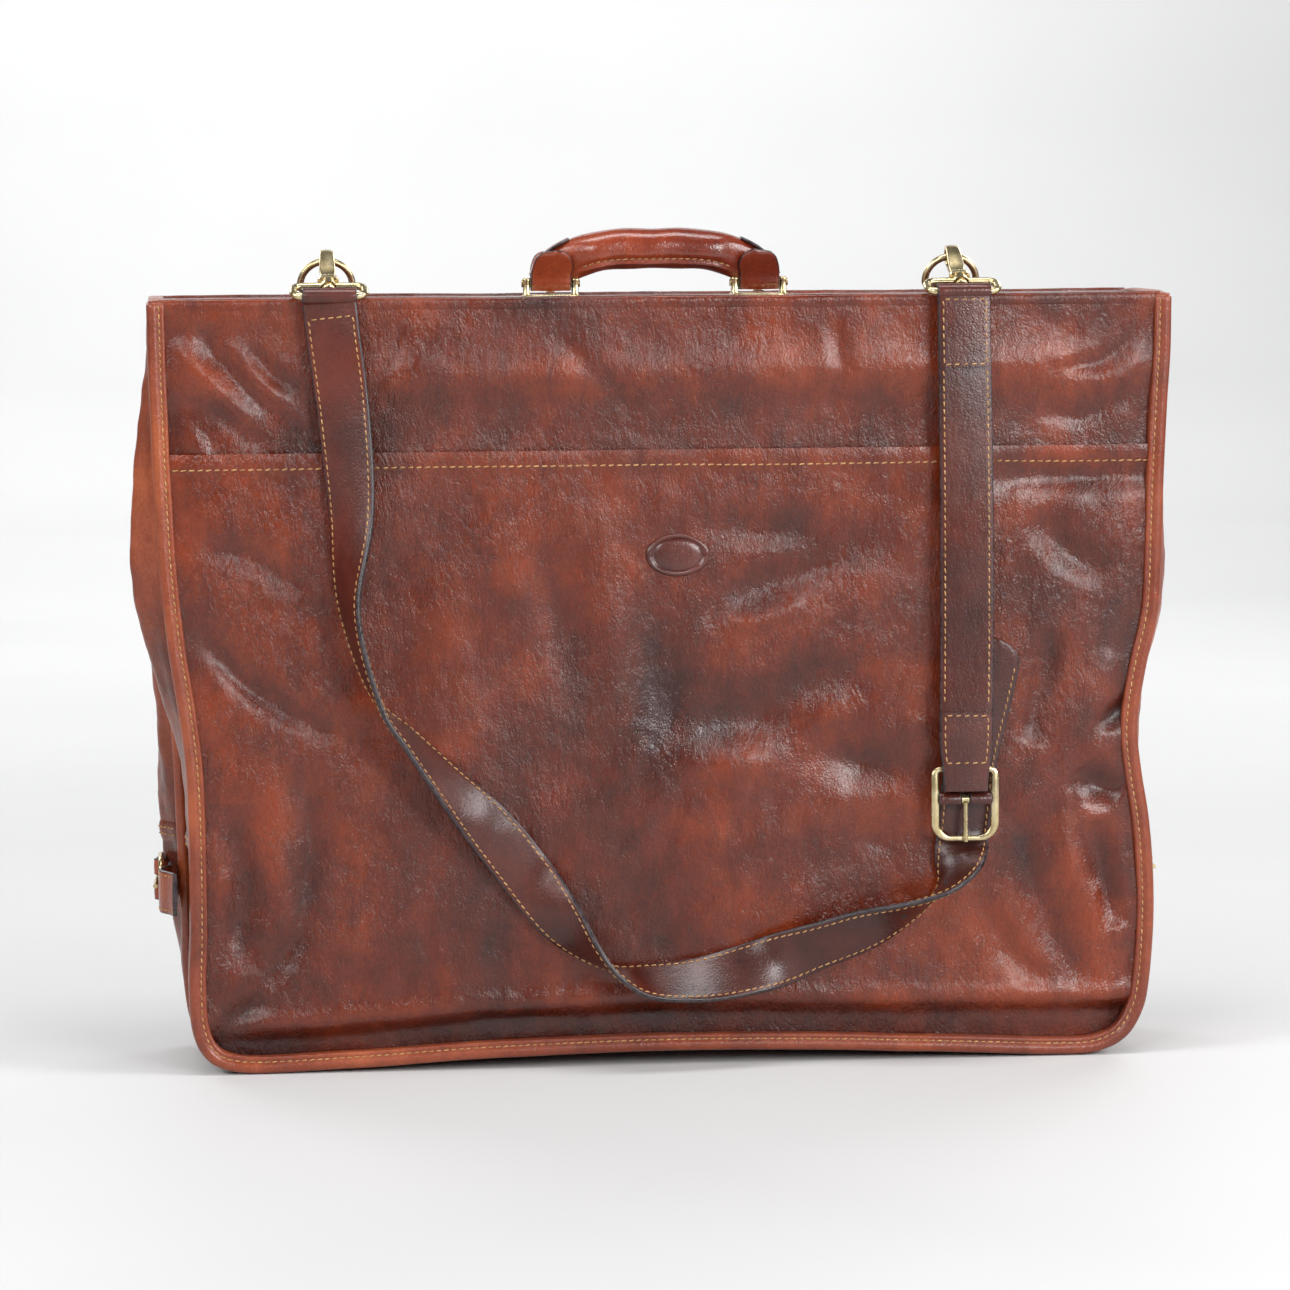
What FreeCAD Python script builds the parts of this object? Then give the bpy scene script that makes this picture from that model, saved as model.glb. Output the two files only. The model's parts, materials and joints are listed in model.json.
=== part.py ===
"""Bifold leather garment bag: two hollow halves hang from a top spine that carries the handle and the strap."""

import FreeCAD, Part
import math
import os

V = FreeCAD.Vector

# Bag, millimetres. +Z is up, the bag's front faces -Y, the floor is z = 0.
TOP_WIDTH = 590.0
BASE_WIDTH = 562.0
SPINE_TOP = 445.0
CORNER_R = 35.0
GAP_PLANE_Y = 17.0          # the plane midway between the halves, so that the whole part is centred on y = 0
HALF_TOP = 439.5            # top edge of both halves, under the spine
CREASE_Z = 443.0            # height of both fold lines
CREASE_Y = 55.0             # distance of both fold lines from the gap plane

# Distances from the gap plane, outside to inside of one half
BINDING_OUTER = 56.0
BINDING_INNER = 47.0
PANEL_T = 4.0
FRONT_PANEL_FACE = 49.5
REAR_PANEL_FACE = 54.5
BOARD_T = 1.5
LINING_T = 1.0
EDGE_OUTER = 9.0
EDGE_INNER = 3.0
INNER_PANEL_T = 2.0
INNER_PANEL_FACE = 5.0
BINDING_W = 8.5
GUSSET_INSET = 1.5
GUSSET_T = 3.0
GUSSET_SEAM_Z = 134.0
GUSSET_BULGES = ((134.0, 0.6), (200.0, 7.0), (290.0, 12.0), (380.0, 8.0), (439.5, 2.0))

# Slip pocket and badge
POCKET_FACE = 55.8
POCKET_T = 2.0
POCKET_TOP = 358.0
POCKET_BOTTOM = 9.0
BADGE_X = 7.0
BADGE_Z = 297.0
BADGE_W = 36.0
BADGE_H = 24.0
BADGE_T = 1.2

# Zippers on the inner faces
ZIP_SLOT_W = 7.0
ZIP_LOW = 22.0
ZIP_HIGH = 425.0
SLIDER_Z = 34.0

# Spine hardware
PIN_Z = 452.5
PIN_R = 2.0
BRACKET_X = 61.0
EAR_IN = 12.0
EAR_OUT = 16.3
LOOP_W = 23.4
GRIP_LENGTH = 145.0
GRIP_TOP = 484.5
GRIP_BOTTOM = 460.6
GRIP_ARCH = 20.5            # how far the top of the grip falls towards its ends
GRIP_DEPTH = 25.0
HOOK_X = (-192.0, 172.0)
RING_BAR = (-14.0, 450.0)   # y from the gap plane, z
RING_R = 2.0
RING_HALF_W = 15.0
RING_HEIGHT = 18.0
RING_LEAN = 20.0            # degrees forward from upright

# Snap hook, along its own shank
HOOK_SLOPE = 23.6           # degrees that the shank falls towards the front
SHANK = 34.9                # swivel to claw centre
GATE_START = 17.5
GATE_END = 32.3             # where the gate meets the claw's lip
CLAW_IN = 3.4
CLAW_OUT = 6.4
HOOK_W = 6.0
LINK_REACH = 13.0           # swivel to the bar that carries the strap
LINK_R = 2.2
LINK_HALF_W = 20.3

# Shoulder strap
STRAP_W = 31.0
STRAP_T = 4.5
STRAP_STAND = 1.5
LOOP_R_IN = 2.4
BUCKLE = (172.0, -67.5, 154.0)
BUCKLE_R = 1.7
# Centre (x, z) of the strap and the direction across it, from its left edge to its right edge
STRAP_ROUTE = (
    (-192, 444, (1.0, -0.1, 0.0)),
    (-190, 425, (1.0, -0.2, 0.0)),
    (-185, 384, (1.0, -0.3, 0.0)),
    (-181, 326, (0.8, -0.6, 0.0)),
    (-183, 270, (0.3, -0.9, 0.0)),
    (-168, 218, (0.1, -1.0, -0.1)),
    (-149, 194, (-0.2, -0.9, -0.2)),
    (-127, 168, (-0.4, -0.8, -0.5)),
    (-101, 138, (-0.7, -0.3, -0.7)),
    (-81, 112, (-0.8, 0.0, -0.6)),
    (-64, 89, (-0.7, 0.5, -0.5)),
    (-47, 70, (-0.3, 0.9, -0.3)),
    (-32, 58, (0.0, 1.0, 0.0)),
    (-12, 52, (0.1, 0.9, 0.5)),
    (18, 52, (0.0, 0.7, 0.7)),
    (50, 58, (-0.2, 0.4, 0.9)),
    (82, 68, (-0.2, -0.3, 0.9)),
    (111, 78, (-0.3, -0.5, 0.8)),
    (135, 88, (-0.2, -0.8, 0.5)),
    (152, 97, (-0.1, -1.0, 0.2)),
    (163, 107, (0.4, -0.9, 0.1)),
    (169, 118, (0.8, -0.5, 0.0)),
    (172, 131, (1.0, 0.0, 0.0)),
    (174, 152, (1.0, 0.0, 0.1)),
    (178, 182, (1.0, 0.0, 0.1)),
    (186, 215, (1.0, 0.0, 0.2)),
    (193, 246, (1.0, 0.0, 0.2)),
)

# Side straps and their buckles
SIDE_Z = 104.0
SIDE_STRAP_W = 25.0
SIDE_STRAP_T = 3.0
SIDE_STRAP_OFF = 0.7
SIDE_FRAME_OFF = 7.7
SIDE_BAR_Y = 24.0

# Hanging hook inside the rear half
HANGER_Y = 28.0
HANGER_PIN_Z = 14.0


def side_x(z):
    """Half width of the bag at height z."""
    return BASE_WIDTH / 2 + (TOP_WIDTH - BASE_WIDTH) / 2 * z / SPINE_TOP


def rounded_wire(corners):
    """Closed wire in the XZ plane through corners (x, z, radius)."""
    points = [V(x, 0, z) for x, z, _ in corners]
    count = len(points)
    stops = []
    for i, (_, _, radius) in enumerate(corners):
        here = points[i]
        back = (points[i - 1] - here).normalize()
        ahead = (points[(i + 1) % count] - here).normalize()
        if radius == 0:
            stops.append((here, None, here))
            continue
        half = back.getAngle(ahead) / 2
        reach = radius / math.tan(half)
        inward = (back + ahead).normalize()
        middle = here + inward * (radius / math.sin(half) - radius)
        stops.append((here + back * reach, middle, here + ahead * reach))
    edges = []
    for i, (start, middle, end) in enumerate(stops):
        if middle is not None:
            edges.append(Part.Arc(start, middle, end).toShape())
        edges.append(Part.LineSegment(end, stops[(i + 1) % count][0]).toShape())
    return Part.Wire(edges)


def prism(corners, y_low, y_high):
    """Solid between two Y levels with the outline given by corners."""
    face = Part.Face(rounded_wire(corners))
    face.translate(V(0, y_low, 0))
    return face.extrude(V(0, y_high - y_low, 0))


def box(x_low, x_high, y_low, y_high, z_low, z_high):
    return Part.makeBox(x_high - x_low, y_high - y_low, z_high - z_low, V(x_low, y_low, z_low))


def rod(start, end, radius):
    return Part.makeCylinder(radius, (end - start).Length, start, end - start)


def tube_x(x_mid, y, z, width, r_in, r_out):
    """Tube along X, centred on x_mid."""
    start = V(x_mid - width / 2, y, z)
    outer = Part.makeCylinder(r_out, width, start, V(1, 0, 0))
    return outer.cut(Part.makeCylinder(r_in, width, start, V(1, 0, 0)))


def wire_ring(corners, radius):
    """Round wire bent to a closed outline in the XZ plane."""
    path = rounded_wire(corners)
    first = path.Edges[0]
    start = first.valueAt(first.FirstParameter)
    along = first.tangentAt(first.FirstParameter)
    section = Part.Wire(Part.makeCircle(radius, start, along))
    return path.makePipeShell([section], True, True)


def local_frame(origin, x_axis, y_axis, z_axis):
    """Placement that takes the local axes to the given directions."""
    return FreeCAD.Placement(origin, FreeCAD.Rotation(x_axis, y_axis, z_axis, "XYZ"))


def placed(shape, placement):
    moved = shape.copy()
    moved.Placement = placement.multiply(moved.Placement)
    return moved


def sheet_outline(inset, top):
    """Corners of a sheet with the bag's outline, inset from its edge."""
    return [
        (-side_x(top) + inset, top, 0),
        (-side_x(inset) + inset, inset, CORNER_R - inset),
        (side_x(inset) - inset, inset, CORNER_R - inset),
        (side_x(top) - inset, top, 0),
    ]


def strip_outline(outer, inner, top):
    """Corners of a U strip that follows the sides and the base between two insets."""
    outside = sheet_outline(outer, top)
    inside = sheet_outline(inner, top)
    return outside + inside[::-1]


def gusset_section(side, z, bulge, y_near, y_far):
    """Closed crescent across one gusset side at height z."""
    y_mid = (y_near + y_far) / 2
    outer = side_x(z) - GUSSET_INSET
    inner = outer - GUSSET_T
    outside = Part.Arc(V(side * outer, y_near, z), V(side * (outer + bulge), y_mid, z), V(side * outer, y_far, z))
    inside = Part.Arc(V(side * inner, y_far, z), V(side * (inner + bulge), y_mid, z), V(side * inner, y_near, z))
    far_edge = Part.LineSegment(V(side * outer, y_far, z), V(side * inner, y_far, z))
    near_edge = Part.LineSegment(V(side * inner, y_near, z), V(side * outer, y_near, z))
    return Part.Wire([outside.toShape(), far_edge.toShape(), inside.toShape(), near_edge.toShape()])


def gusset_side(side, y_near, y_far):
    """Side wall that bows outwards between its two edge bindings."""
    sections = [gusset_section(side, z, bulge, y_near, y_far) for z, bulge in GUSSET_BULGES]
    return Part.makeLoft(sections, True, False)


def gusset_base(y_low, y_high):
    """Floor strip and two rounded corners of the gusset, as three solids that meet end to end."""
    strip = prism(strip_outline(GUSSET_INSET, GUSSET_INSET + GUSSET_T, GUSSET_SEAM_Z), y_low, y_high)
    reach = BASE_WIDTH / 2 - CORNER_R - 2
    left = strip.common(box(-TOP_WIDTH, -reach, y_low - 1, y_high + 1, 0, GUSSET_SEAM_Z))
    floor = strip.common(box(-reach, reach, y_low - 1, y_high + 1, 0, GUSSET_SEAM_Z))
    right = strip.common(box(reach, TOP_WIDTH, y_low - 1, y_high + 1, 0, GUSSET_SEAM_Z))
    return Part.makeCompound([left.Solids[0], floor.Solids[0], right.Solids[0]])


def inner_panel(y_low, y_high):
    """Inner sheet with the slot for its zipper."""
    sheet = prism(sheet_outline(BINDING_W, HALF_TOP), y_low, y_high)
    slot = box(-ZIP_SLOT_W / 2, ZIP_SLOT_W / 2, y_low, y_high, ZIP_LOW, ZIP_HIGH)
    return sheet.cut(slot)


def zip_slider():
    """Slider body with its pull, in front of a chain whose face is at y = 4.5."""
    body = box(-6, 6, 2.2, 4.2, SLIDER_Z - 7, SLIDER_Z + 7)
    pull = prism([(-3, SLIDER_Z - 4, 2), (3, SLIDER_Z - 4, 2), (3, SLIDER_Z + 24, 2), (-3, SLIDER_Z + 24, 2)], 1.0, 2.2)
    return body.fuse(pull)


def half_parts(panel_face):
    """Solids of one half, for the rear side of the gap plane (y > 0)."""
    board_face = panel_face - PANEL_T
    lining_face = board_face - BOARD_T
    gusset_low = EDGE_OUTER
    gusset_high = BINDING_INNER
    bow_low = gusset_low + 1.2
    bow_high = gusset_high - 1.2
    return {
        "panel": prism(sheet_outline(BINDING_W, HALF_TOP), board_face, panel_face),
        "board": prism(sheet_outline(BINDING_W + 14, HALF_TOP - 8), lining_face, board_face),
        "lining": prism(sheet_outline(BINDING_W, HALF_TOP - 2), lining_face - LINING_T, lining_face),
        "gusset_left": gusset_side(-1, bow_low, bow_high),
        "gusset_right": gusset_side(1, bow_low, bow_high),
        "gusset_base": gusset_base(gusset_low, gusset_high),
        "binding": prism(strip_outline(0, BINDING_W, HALF_TOP), BINDING_INNER, BINDING_OUTER),
        "inner_binding": prism(strip_outline(0, BINDING_W, HALF_TOP), EDGE_INNER, EDGE_OUTER),
        "inner_panel": inner_panel(INNER_PANEL_FACE, INNER_PANEL_FACE + INNER_PANEL_T),
        "zipper": box(-ZIP_SLOT_W / 2, ZIP_SLOT_W / 2, 4.5, 7.5, ZIP_LOW, ZIP_HIGH),
        "zip_slider": zip_slider(),
    }


def front_half():
    """The half under the shoulder strap, mirrored from the rear side, with its pocket, badge and side straps."""
    nodes = {}
    for name, shape in half_parts(FRONT_PANEL_FACE).items():
        nodes["front_" + name] = shape.mirror(V(0, 0, 0), V(0, 1, 0))
    pocket = sheet_outline(BINDING_W, POCKET_TOP)
    nodes["front_pocket"] = prism(pocket, -POCKET_FACE, POCKET_T - POCKET_FACE)
    nodes["badge"] = badge()
    for side, word in ((-1, "left"), (1, "right")):
        nodes["side_strap_" + word] = side_strap(side)
    return nodes


def rear_half():
    """The plain half behind, with the side buckles and the hanging hook."""
    nodes = {}
    for name, shape in half_parts(REAR_PANEL_FACE).items():
        nodes["rear_" + name] = shape
    for side, word in ((-1, "left"), (1, "right")):
        pose = side_buckle_frame(side)
        nodes["side_chape_" + word] = side_chape(side, pose)
        nodes["side_buckle_" + word] = placed(buckle_frame(SIDE_STRAP_W + 1, 0, 30), pose)
        nodes["side_prong_" + word] = placed(prong(30), pose)
    nodes["hanger_plate"] = hanger_plate()
    nodes["hanging_hook"] = hanging_hook()
    return nodes


def badge():
    """Blank oval badge with a raised rim."""
    def oval(grow, depth):
        ellipse = Part.Ellipse(V(0, 0, 0), BADGE_W / 2 + grow, BADGE_H / 2 + grow)
        face = Part.Face(Part.Wire(ellipse.toShape()))
        return face.extrude(V(0, 0, depth))
    solid = oval(0, BADGE_T).cut(oval(-2, BADGE_T).translate(V(0, 0, BADGE_T - 0.5)))
    solid.rotate(V(0, 0, 0), V(1, 0, 0), 90)
    solid.translate(V(BADGE_X, -POCKET_FACE, BADGE_Z))
    return solid


def side_strap(side):
    """Strap sewn to the front half's gusset, with its tip under the rear half's buckle."""
    face = side_x(SIDE_Z) + SIDE_STRAP_OFF
    half = SIDE_STRAP_W / 2
    outline = [
        (-44, SIDE_Z - half, 0),
        (16, SIDE_Z - half, half - 1),
        (16, SIDE_Z + half, half - 1),
        (-44, SIDE_Z + half, 0),
    ]
    strap = prism(outline, 0, SIDE_STRAP_T)
    strap.rotate(V(0, 0, 0), V(0, 0, 1), 90)
    low = face if side > 0 else -face
    strap.translate(V(low + (SIDE_STRAP_T if side > 0 else 0), 0, 0))
    sewn_in = side_x(SIDE_Z - half) - GUSSET_INSET
    root = box(min(side * sewn_in, side * face), max(side * sewn_in, side * face), -44, -14,
               SIDE_Z - half, SIDE_Z + half)
    root = root.cut(gusset_solid(side))
    return strap.fuse(root)


def gusset_solid(side):
    """Everything inside the slanted outer face of the gusset on one side."""
    reach = GUSSET_INSET
    outline = [
        (0, 0, 0),
        (side * (side_x(0) - reach), 0, 0),
        (side * (side_x(HALF_TOP) - reach), HALF_TOP, 0),
        (0, HALF_TOP, 0),
    ]
    return prism(outline, -60, 60)


def side_buckle_frame(side):
    """Placement of a side buckle: its bar upright, its far end towards the front, its face outwards."""
    origin = V(side * (side_x(SIDE_Z) + SIDE_FRAME_OFF), SIDE_BAR_Y, SIDE_Z)
    return local_frame(origin, V(0, 0, -side), V(-side, 0, 0), V(0, 1, 0))


def side_chape(side, pose):
    """Leather loop round the buckle's bar, sewn to the rear gusset, with a slot for the prong."""
    loop = placed(tube_x(0, 0, 0, SIDE_STRAP_W - 3, BUCKLE_R + 0.1, 4.4), pose)
    slot = placed(box(-2.4, 2.4, -6, 6, -6, 4.8), pose)
    half = SIDE_STRAP_W / 2
    outer = side_x(SIDE_Z) + SIDE_FRAME_OFF - 1.9
    root = box(min(0, side * outer), max(0, side * outer), SIDE_BAR_Y + 2.2, 45,
               SIDE_Z - half, SIDE_Z + half)
    root = root.cut(gusset_solid(side))
    return loop.fuse(root).cut(slot)


def buckle_frame(inner_width, above, below):
    """Wire buckle round a bar along local X: above and below are its reach from the bar."""
    half = inner_width / 2 + BUCKLE_R
    frame = wire_ring([(-half, -below, 9), (half, -below, 9), (half, above, 2.6), (-half, above, 2.6)], BUCKLE_R)
    if above > 0:
        frame = frame.fuse(rod(V(-half, 0, 0), V(half, 0, 0), BUCKLE_R))
    return frame


def prong(below):
    """Finger that turns on the bar and rests on the frame's far end."""
    collar = tube_x(0, 0, 0, 4.0, BUCKLE_R + 0.08, 3.2)
    finger = rod(V(0, -2.6, -1.5), V(0, -3.6, -below - 1.5), 1.4)
    clear = Part.makeCylinder(BUCKLE_R + 0.08, 8, V(-4, 0, 0), V(1, 0, 0))
    return collar.fuse(finger).cut(clear)


def hanger_plate():
    """Plate on the floor of the rear half, with two ears for the hook's pin."""
    plate = box(-20, 20, HANGER_Y - 9, HANGER_Y + 9, 4.5, 6.5)
    solid = plate
    for side in (-1, 1):
        y_low = HANGER_Y + side * 5 - 1.25
        ear = prism([(-5, 6, 0), (5, 6, 0), (5, HANGER_PIN_Z + 4.5, 4), (-5, HANGER_PIN_Z + 4.5, 4)], y_low, y_low + 2.5)
        solid = solid.fuse(ear)
    pin = rod(V(0, HANGER_Y - 6.2, HANGER_PIN_Z), V(0, HANGER_Y + 6.2, HANGER_PIN_Z), 1.6)
    return solid.fuse(pin)


def hanging_hook():
    """Wire hook that lies along the floor of the rear half and swings up about its pin."""
    eye = Part.makeCylinder(4.4, 6.4, V(0, -3.2, 0), V(0, 1, 0))
    bend = 20.0
    reach = 58.0
    line = Part.LineSegment(V(3, 0, 0), V(reach, 0, 0)).toShape()
    arc = Part.Arc(V(reach, 0, 0), V(reach + bend, 0, bend), V(reach, 0, 2 * bend)).toShape()
    tip = Part.LineSegment(V(reach, 0, 2 * bend), V(reach - 16, 0, 2 * bend)).toShape()
    path = Part.Wire([line, arc, tip])
    section = Part.Wire(Part.makeCircle(2.2, V(3, 0, 0), V(1, 0, 0)))
    shank = path.makePipeShell([section], True, True)
    solid = eye.fuse(shank).cut(Part.makeCylinder(1.68, 8, V(0, -4, 0), V(0, 1, 0)))
    solid.translate(V(0, HANGER_Y, HANGER_PIN_Z))
    return solid


def spine():
    """Top panel between the two fold lines, with brackets, ring tabs, pins and rivets."""
    nodes = {}
    half_x = side_x(SPINE_TOP) - 1
    half_y = CREASE_Y - 0.5
    nodes["spine_panel"] = box(-half_x, half_x, -half_y, half_y, SPINE_TOP - 3.5, SPINE_TOP)
    nodes["spine_board"] = box(-half_x + 12, half_x - 12, -half_y + 6, half_y - 6, SPINE_TOP - 5, SPINE_TOP - 3.5)
    pins = []
    rivets = []
    for side, word in ((-1, "left"), (1, "right")):
        x = side * BRACKET_X
        nodes["handle_bracket_" + word] = handle_bracket(x)
        pins.append(rod(V(x - EAR_OUT - 0.8, 0, PIN_Z), V(x + EAR_OUT + 0.8, 0, PIN_Z), PIN_R))
        for y in (-8.5, 8.5):
            rivets.append(rivet(x, y, SPINE_TOP + 2))
    for x, word in zip(HOOK_X, ("left", "right")):
        nodes["ring_tab_" + word] = ring_tab(x)
        rivets.append(rivet(x, 13, SPINE_TOP + 2.4))
    nodes["handle_pins"] = Part.makeCompound(pins)
    nodes["spine_rivets"] = Part.makeCompound(rivets)
    return nodes


def rivet(x, y, z):
    """Domed rivet head standing on height z."""
    ball = Part.makeSphere(4.7, V(x, y, z + 1.3 - 4.7))
    return ball.common(box(x - 5, x + 5, y - 5, y + 5, z, z + 2))


def handle_bracket(x):
    """Brass base plate with two upright ears that hold the handle's pin."""
    solid = box(x - EAR_OUT, x + EAR_OUT, -12, 12, SPINE_TOP, SPINE_TOP + 2)
    ear = [(-4.5, SPINE_TOP + 1, 0), (4.5, SPINE_TOP + 1, 0), (4.5, PIN_Z + 4.5, 4.4), (-4.5, PIN_Z + 4.5, 4.4)]
    for low in (x - EAR_OUT, x + EAR_IN):
        plate = prism(ear, 0, EAR_OUT - EAR_IN)
        plate.rotate(V(0, 0, 0), V(0, 0, 1), 90)
        plate.translate(V(low + EAR_OUT - EAR_IN, 0, 0))
        solid = solid.fuse(plate)
    return solid.cut(rod(V(x - 20, 0, PIN_Z), V(x + 20, 0, PIN_Z), PIN_R))


def ring_tab(x):
    """Leather tab round the straight bar of a D-ring, riveted to the spine."""
    y, z = RING_BAR
    loop = tube_x(x, y, z, 20, RING_R + 0.1, 4.4)
    tail = box(x - 10, x + 10, y, 22, SPINE_TOP, SPINE_TOP + 2.4)
    clear = Part.makeCylinder(RING_R + 0.1, 24, V(x - 12, y, z), V(1, 0, 0))
    return loop.fuse(tail).cut(clear)


def d_ring(x):
    """Wire D-ring: straight bar in its tab, round top leaning towards the front."""
    w = RING_HALF_W
    r = RING_R
    bar = Part.LineSegment(V(-w + 3, 0, 0), V(w - 3, 0, 0)).toShape()
    turn = 3 * math.sqrt(0.5)
    right = Part.Arc(V(w - 3, 0, 0), V(w - 3 + turn, 0, 3 - turn), V(w, 0, 3)).toShape()
    top = Part.Arc(V(w, 0, 3), V(0, 0, RING_HEIGHT), V(-w, 0, 3)).toShape()
    left = Part.Arc(V(-w, 0, 3), V(-w + 3 - turn, 0, 3 - turn), V(-w + 3, 0, 0)).toShape()
    path = Part.Wire([bar, right, top, left])
    section = Part.Wire(Part.makeCircle(r, V(-w + 3, 0, 0), V(1, 0, 0)))
    ring = path.makePipeShell([section], True, True)
    ring.rotate(V(0, 0, 0), V(1, 0, 0), RING_LEAN)
    ring.translate(V(x, RING_BAR[0], RING_BAR[1]))
    return ring


def claw_centre():
    """Point (y, z) where the snap hooks hang on the rings."""
    lean = math.radians(RING_LEAN)
    return RING_BAR[0] - RING_HEIGHT * math.sin(lean), RING_BAR[1] + RING_HEIGHT * math.cos(lean)


def swivel_point():
    """Point (y, z) of the swivel, in front of and below the claw."""
    y, z = claw_centre()
    slope = math.radians(HOOK_SLOPE)
    return y - SHANK * math.cos(slope), z - SHANK * math.sin(slope)


def link_bar():
    """Point (y, z) of the link's bar that carries the strap."""
    y, z = swivel_point()
    slope = math.radians(HOOK_SLOPE)
    return y - LINK_REACH * math.cos(slope), z - LINK_REACH * math.sin(slope)


def along_shank(shape, x):
    """Put a shape drawn with local +Z along the shank and local -Y upwards on a hook at x."""
    y, z = swivel_point()
    slope = math.radians(HOOK_SLOPE)
    up = V(0, math.sin(slope), -math.cos(slope))
    along = V(0, math.cos(slope), math.sin(slope))
    return placed(shape, local_frame(V(x, y, z), V(1, 0, 0), up, along))


def snap_hook(x):
    """Swivel stud, shank and claw; drawn in local YZ with +Z along the shank and -Y upwards."""
    width = HOOK_W
    claw = tube_x(0, 0, SHANK, width, CLAW_IN, CLAW_OUT)
    mouth = Part.makeBox(width + 2, CLAW_OUT + 1, CLAW_OUT + 1, V(-width / 2 - 1, 0, GATE_END - CLAW_OUT - 1))
    claw = claw.cut(mouth)
    back = [(-2.4, 5, 0), (2.4, 5, 0), (2.8, 19, 0), (-0.2, 20, 0), (-CLAW_IN, SHANK, 0), (-CLAW_OUT, SHANK, 0),
            (-4.2, 17, 0)]
    spine_bar = prism(back, -width / 2, width / 2)
    spine_bar.rotate(V(0, 0, 0), V(0, 0, 1), 90)
    stud = Part.makeCylinder(2.2, 9.5, V(0, 0, -3.4), V(0, 0, 1))
    head = Part.makeCylinder(3.6, 1.6, V(0, 0, -5.0), V(0, 0, 1))
    collar = Part.makeCylinder(4.2, 2.6, V(0, 0, 3.2), V(0, 0, 1))
    solid = claw.fuse(spine_bar).fuse(stud).fuse(head).fuse(collar)
    return along_shank(solid.cut(gate_room()), x)


def gate_room():
    """Space cut from the hook's body for the gate's barrel."""
    return Part.makeCylinder(2.0, HOOK_W + 2, V(-HOOK_W / 2 - 1, 3.4, GATE_START), V(1, 0, 0)).fuse(
        Part.makeBox(3.4, 4, 8, V(-1.7, 1.2, 14)))


def gate(x):
    """Sprung gate that closes the claw's mouth, with its thumb stud."""
    barrel = Part.makeCylinder(1.7, HOOK_W, V(-HOOK_W / 2, 3.4, GATE_START), V(1, 0, 0))
    bar = Part.makeBox(HOOK_W, 2.0, GATE_END - 0.4 - GATE_START, V(-HOOK_W / 2, 3.8, GATE_START))
    stud = Part.makeCylinder(1.3, 4.5, V(0, 5, 22), V(0, 1, 0))
    return along_shank(barrel.fuse(bar).fuse(stud), x)


def strap_link(x):
    """Oblong link with a boss for the swivel; its front bar carries the strap."""
    w = LINK_HALF_W
    link = wire_ring([(-w, -LINK_REACH, 4.6), (w, -LINK_REACH, 4.6), (w, 0, 4.6), (-w, 0, 4.6)], LINK_R)
    boss = Part.makeCylinder(4.6, 5.6, V(0, 0, -2.8), V(0, 0, 1))
    solid = link.fuse(boss).cut(Part.makeCylinder(2.26, 12, V(0, 0, -6), V(0, 0, 1)))
    return along_shank(solid, x)


def strap_centre_y(across):
    """Y of the strap's centre so that its rear edge stands clear of the pocket."""
    depth = STRAP_W / 2 * abs(across.y) + STRAP_T / 2 * math.sqrt(max(0.0, 1 - across.y ** 2))
    return -(POCKET_FACE + STRAP_STAND + depth)


def spline(values, position):
    """Catmull-Rom value at a position counted in stations."""
    last = len(values) - 1
    i = min(int(position), last - 1)
    t = position - i
    a, b, c, d = (values[min(max(k, 0), last)] for k in (i - 1, i, i + 1, i + 2))
    return (b * 2 + (c - a) * t + (a * 2 - b * 5 + c * 4 - d) * t ** 2 + (b * 3 - a - c * 3 + d) * t ** 3) * 0.5


def ribbon(centres, acrosses, width, thickness, steps):
    """Flat strap through its centres, with the direction across it at each."""
    last = len(centres) - 1
    count = last * steps
    points = [spline(centres, i / steps) for i in range(count + 1)]
    sides = [spline(acrosses, i / steps).normalize() for i in range(count + 1)]
    wires = []
    for i, (point, side) in enumerate(zip(points, sides)):
        along = points[min(i + 1, count)] - points[max(i - 1, 0)]
        normal = side.cross(along).normalize()
        across = along.cross(normal).normalize()
        half = across * (width / 2)
        deep = normal * (thickness / 2)
        corners = [point - half - deep, point + half - deep, point + half + deep, point - half + deep]
        wires.append(Part.makePolygon(corners + corners[:1]))
    solid = Part.makeLoft(wires, True, True)
    return solid if solid.Volume > 0 else solid.reversed()


def strap_long():
    """Long part of the shoulder strap, from the left link through the buckle to its tip."""
    y_bar, z_bar = link_bar()
    acrosses = [V(*across).normalize() for _, _, across in STRAP_ROUTE]
    centres = [V(x, strap_centre_y(across), z) for (x, z, _), across in zip(STRAP_ROUTE, acrosses)]
    centres[0].y = y_bar
    centres[1].y = y_bar
    flat = ribbon(centres, acrosses, STRAP_W, STRAP_T, 3)
    loop = tube_x(HOOK_X[0], y_bar, z_bar, STRAP_W, LOOP_R_IN, LOOP_R_IN + 2.3)
    return flat.fuse(loop)


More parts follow.
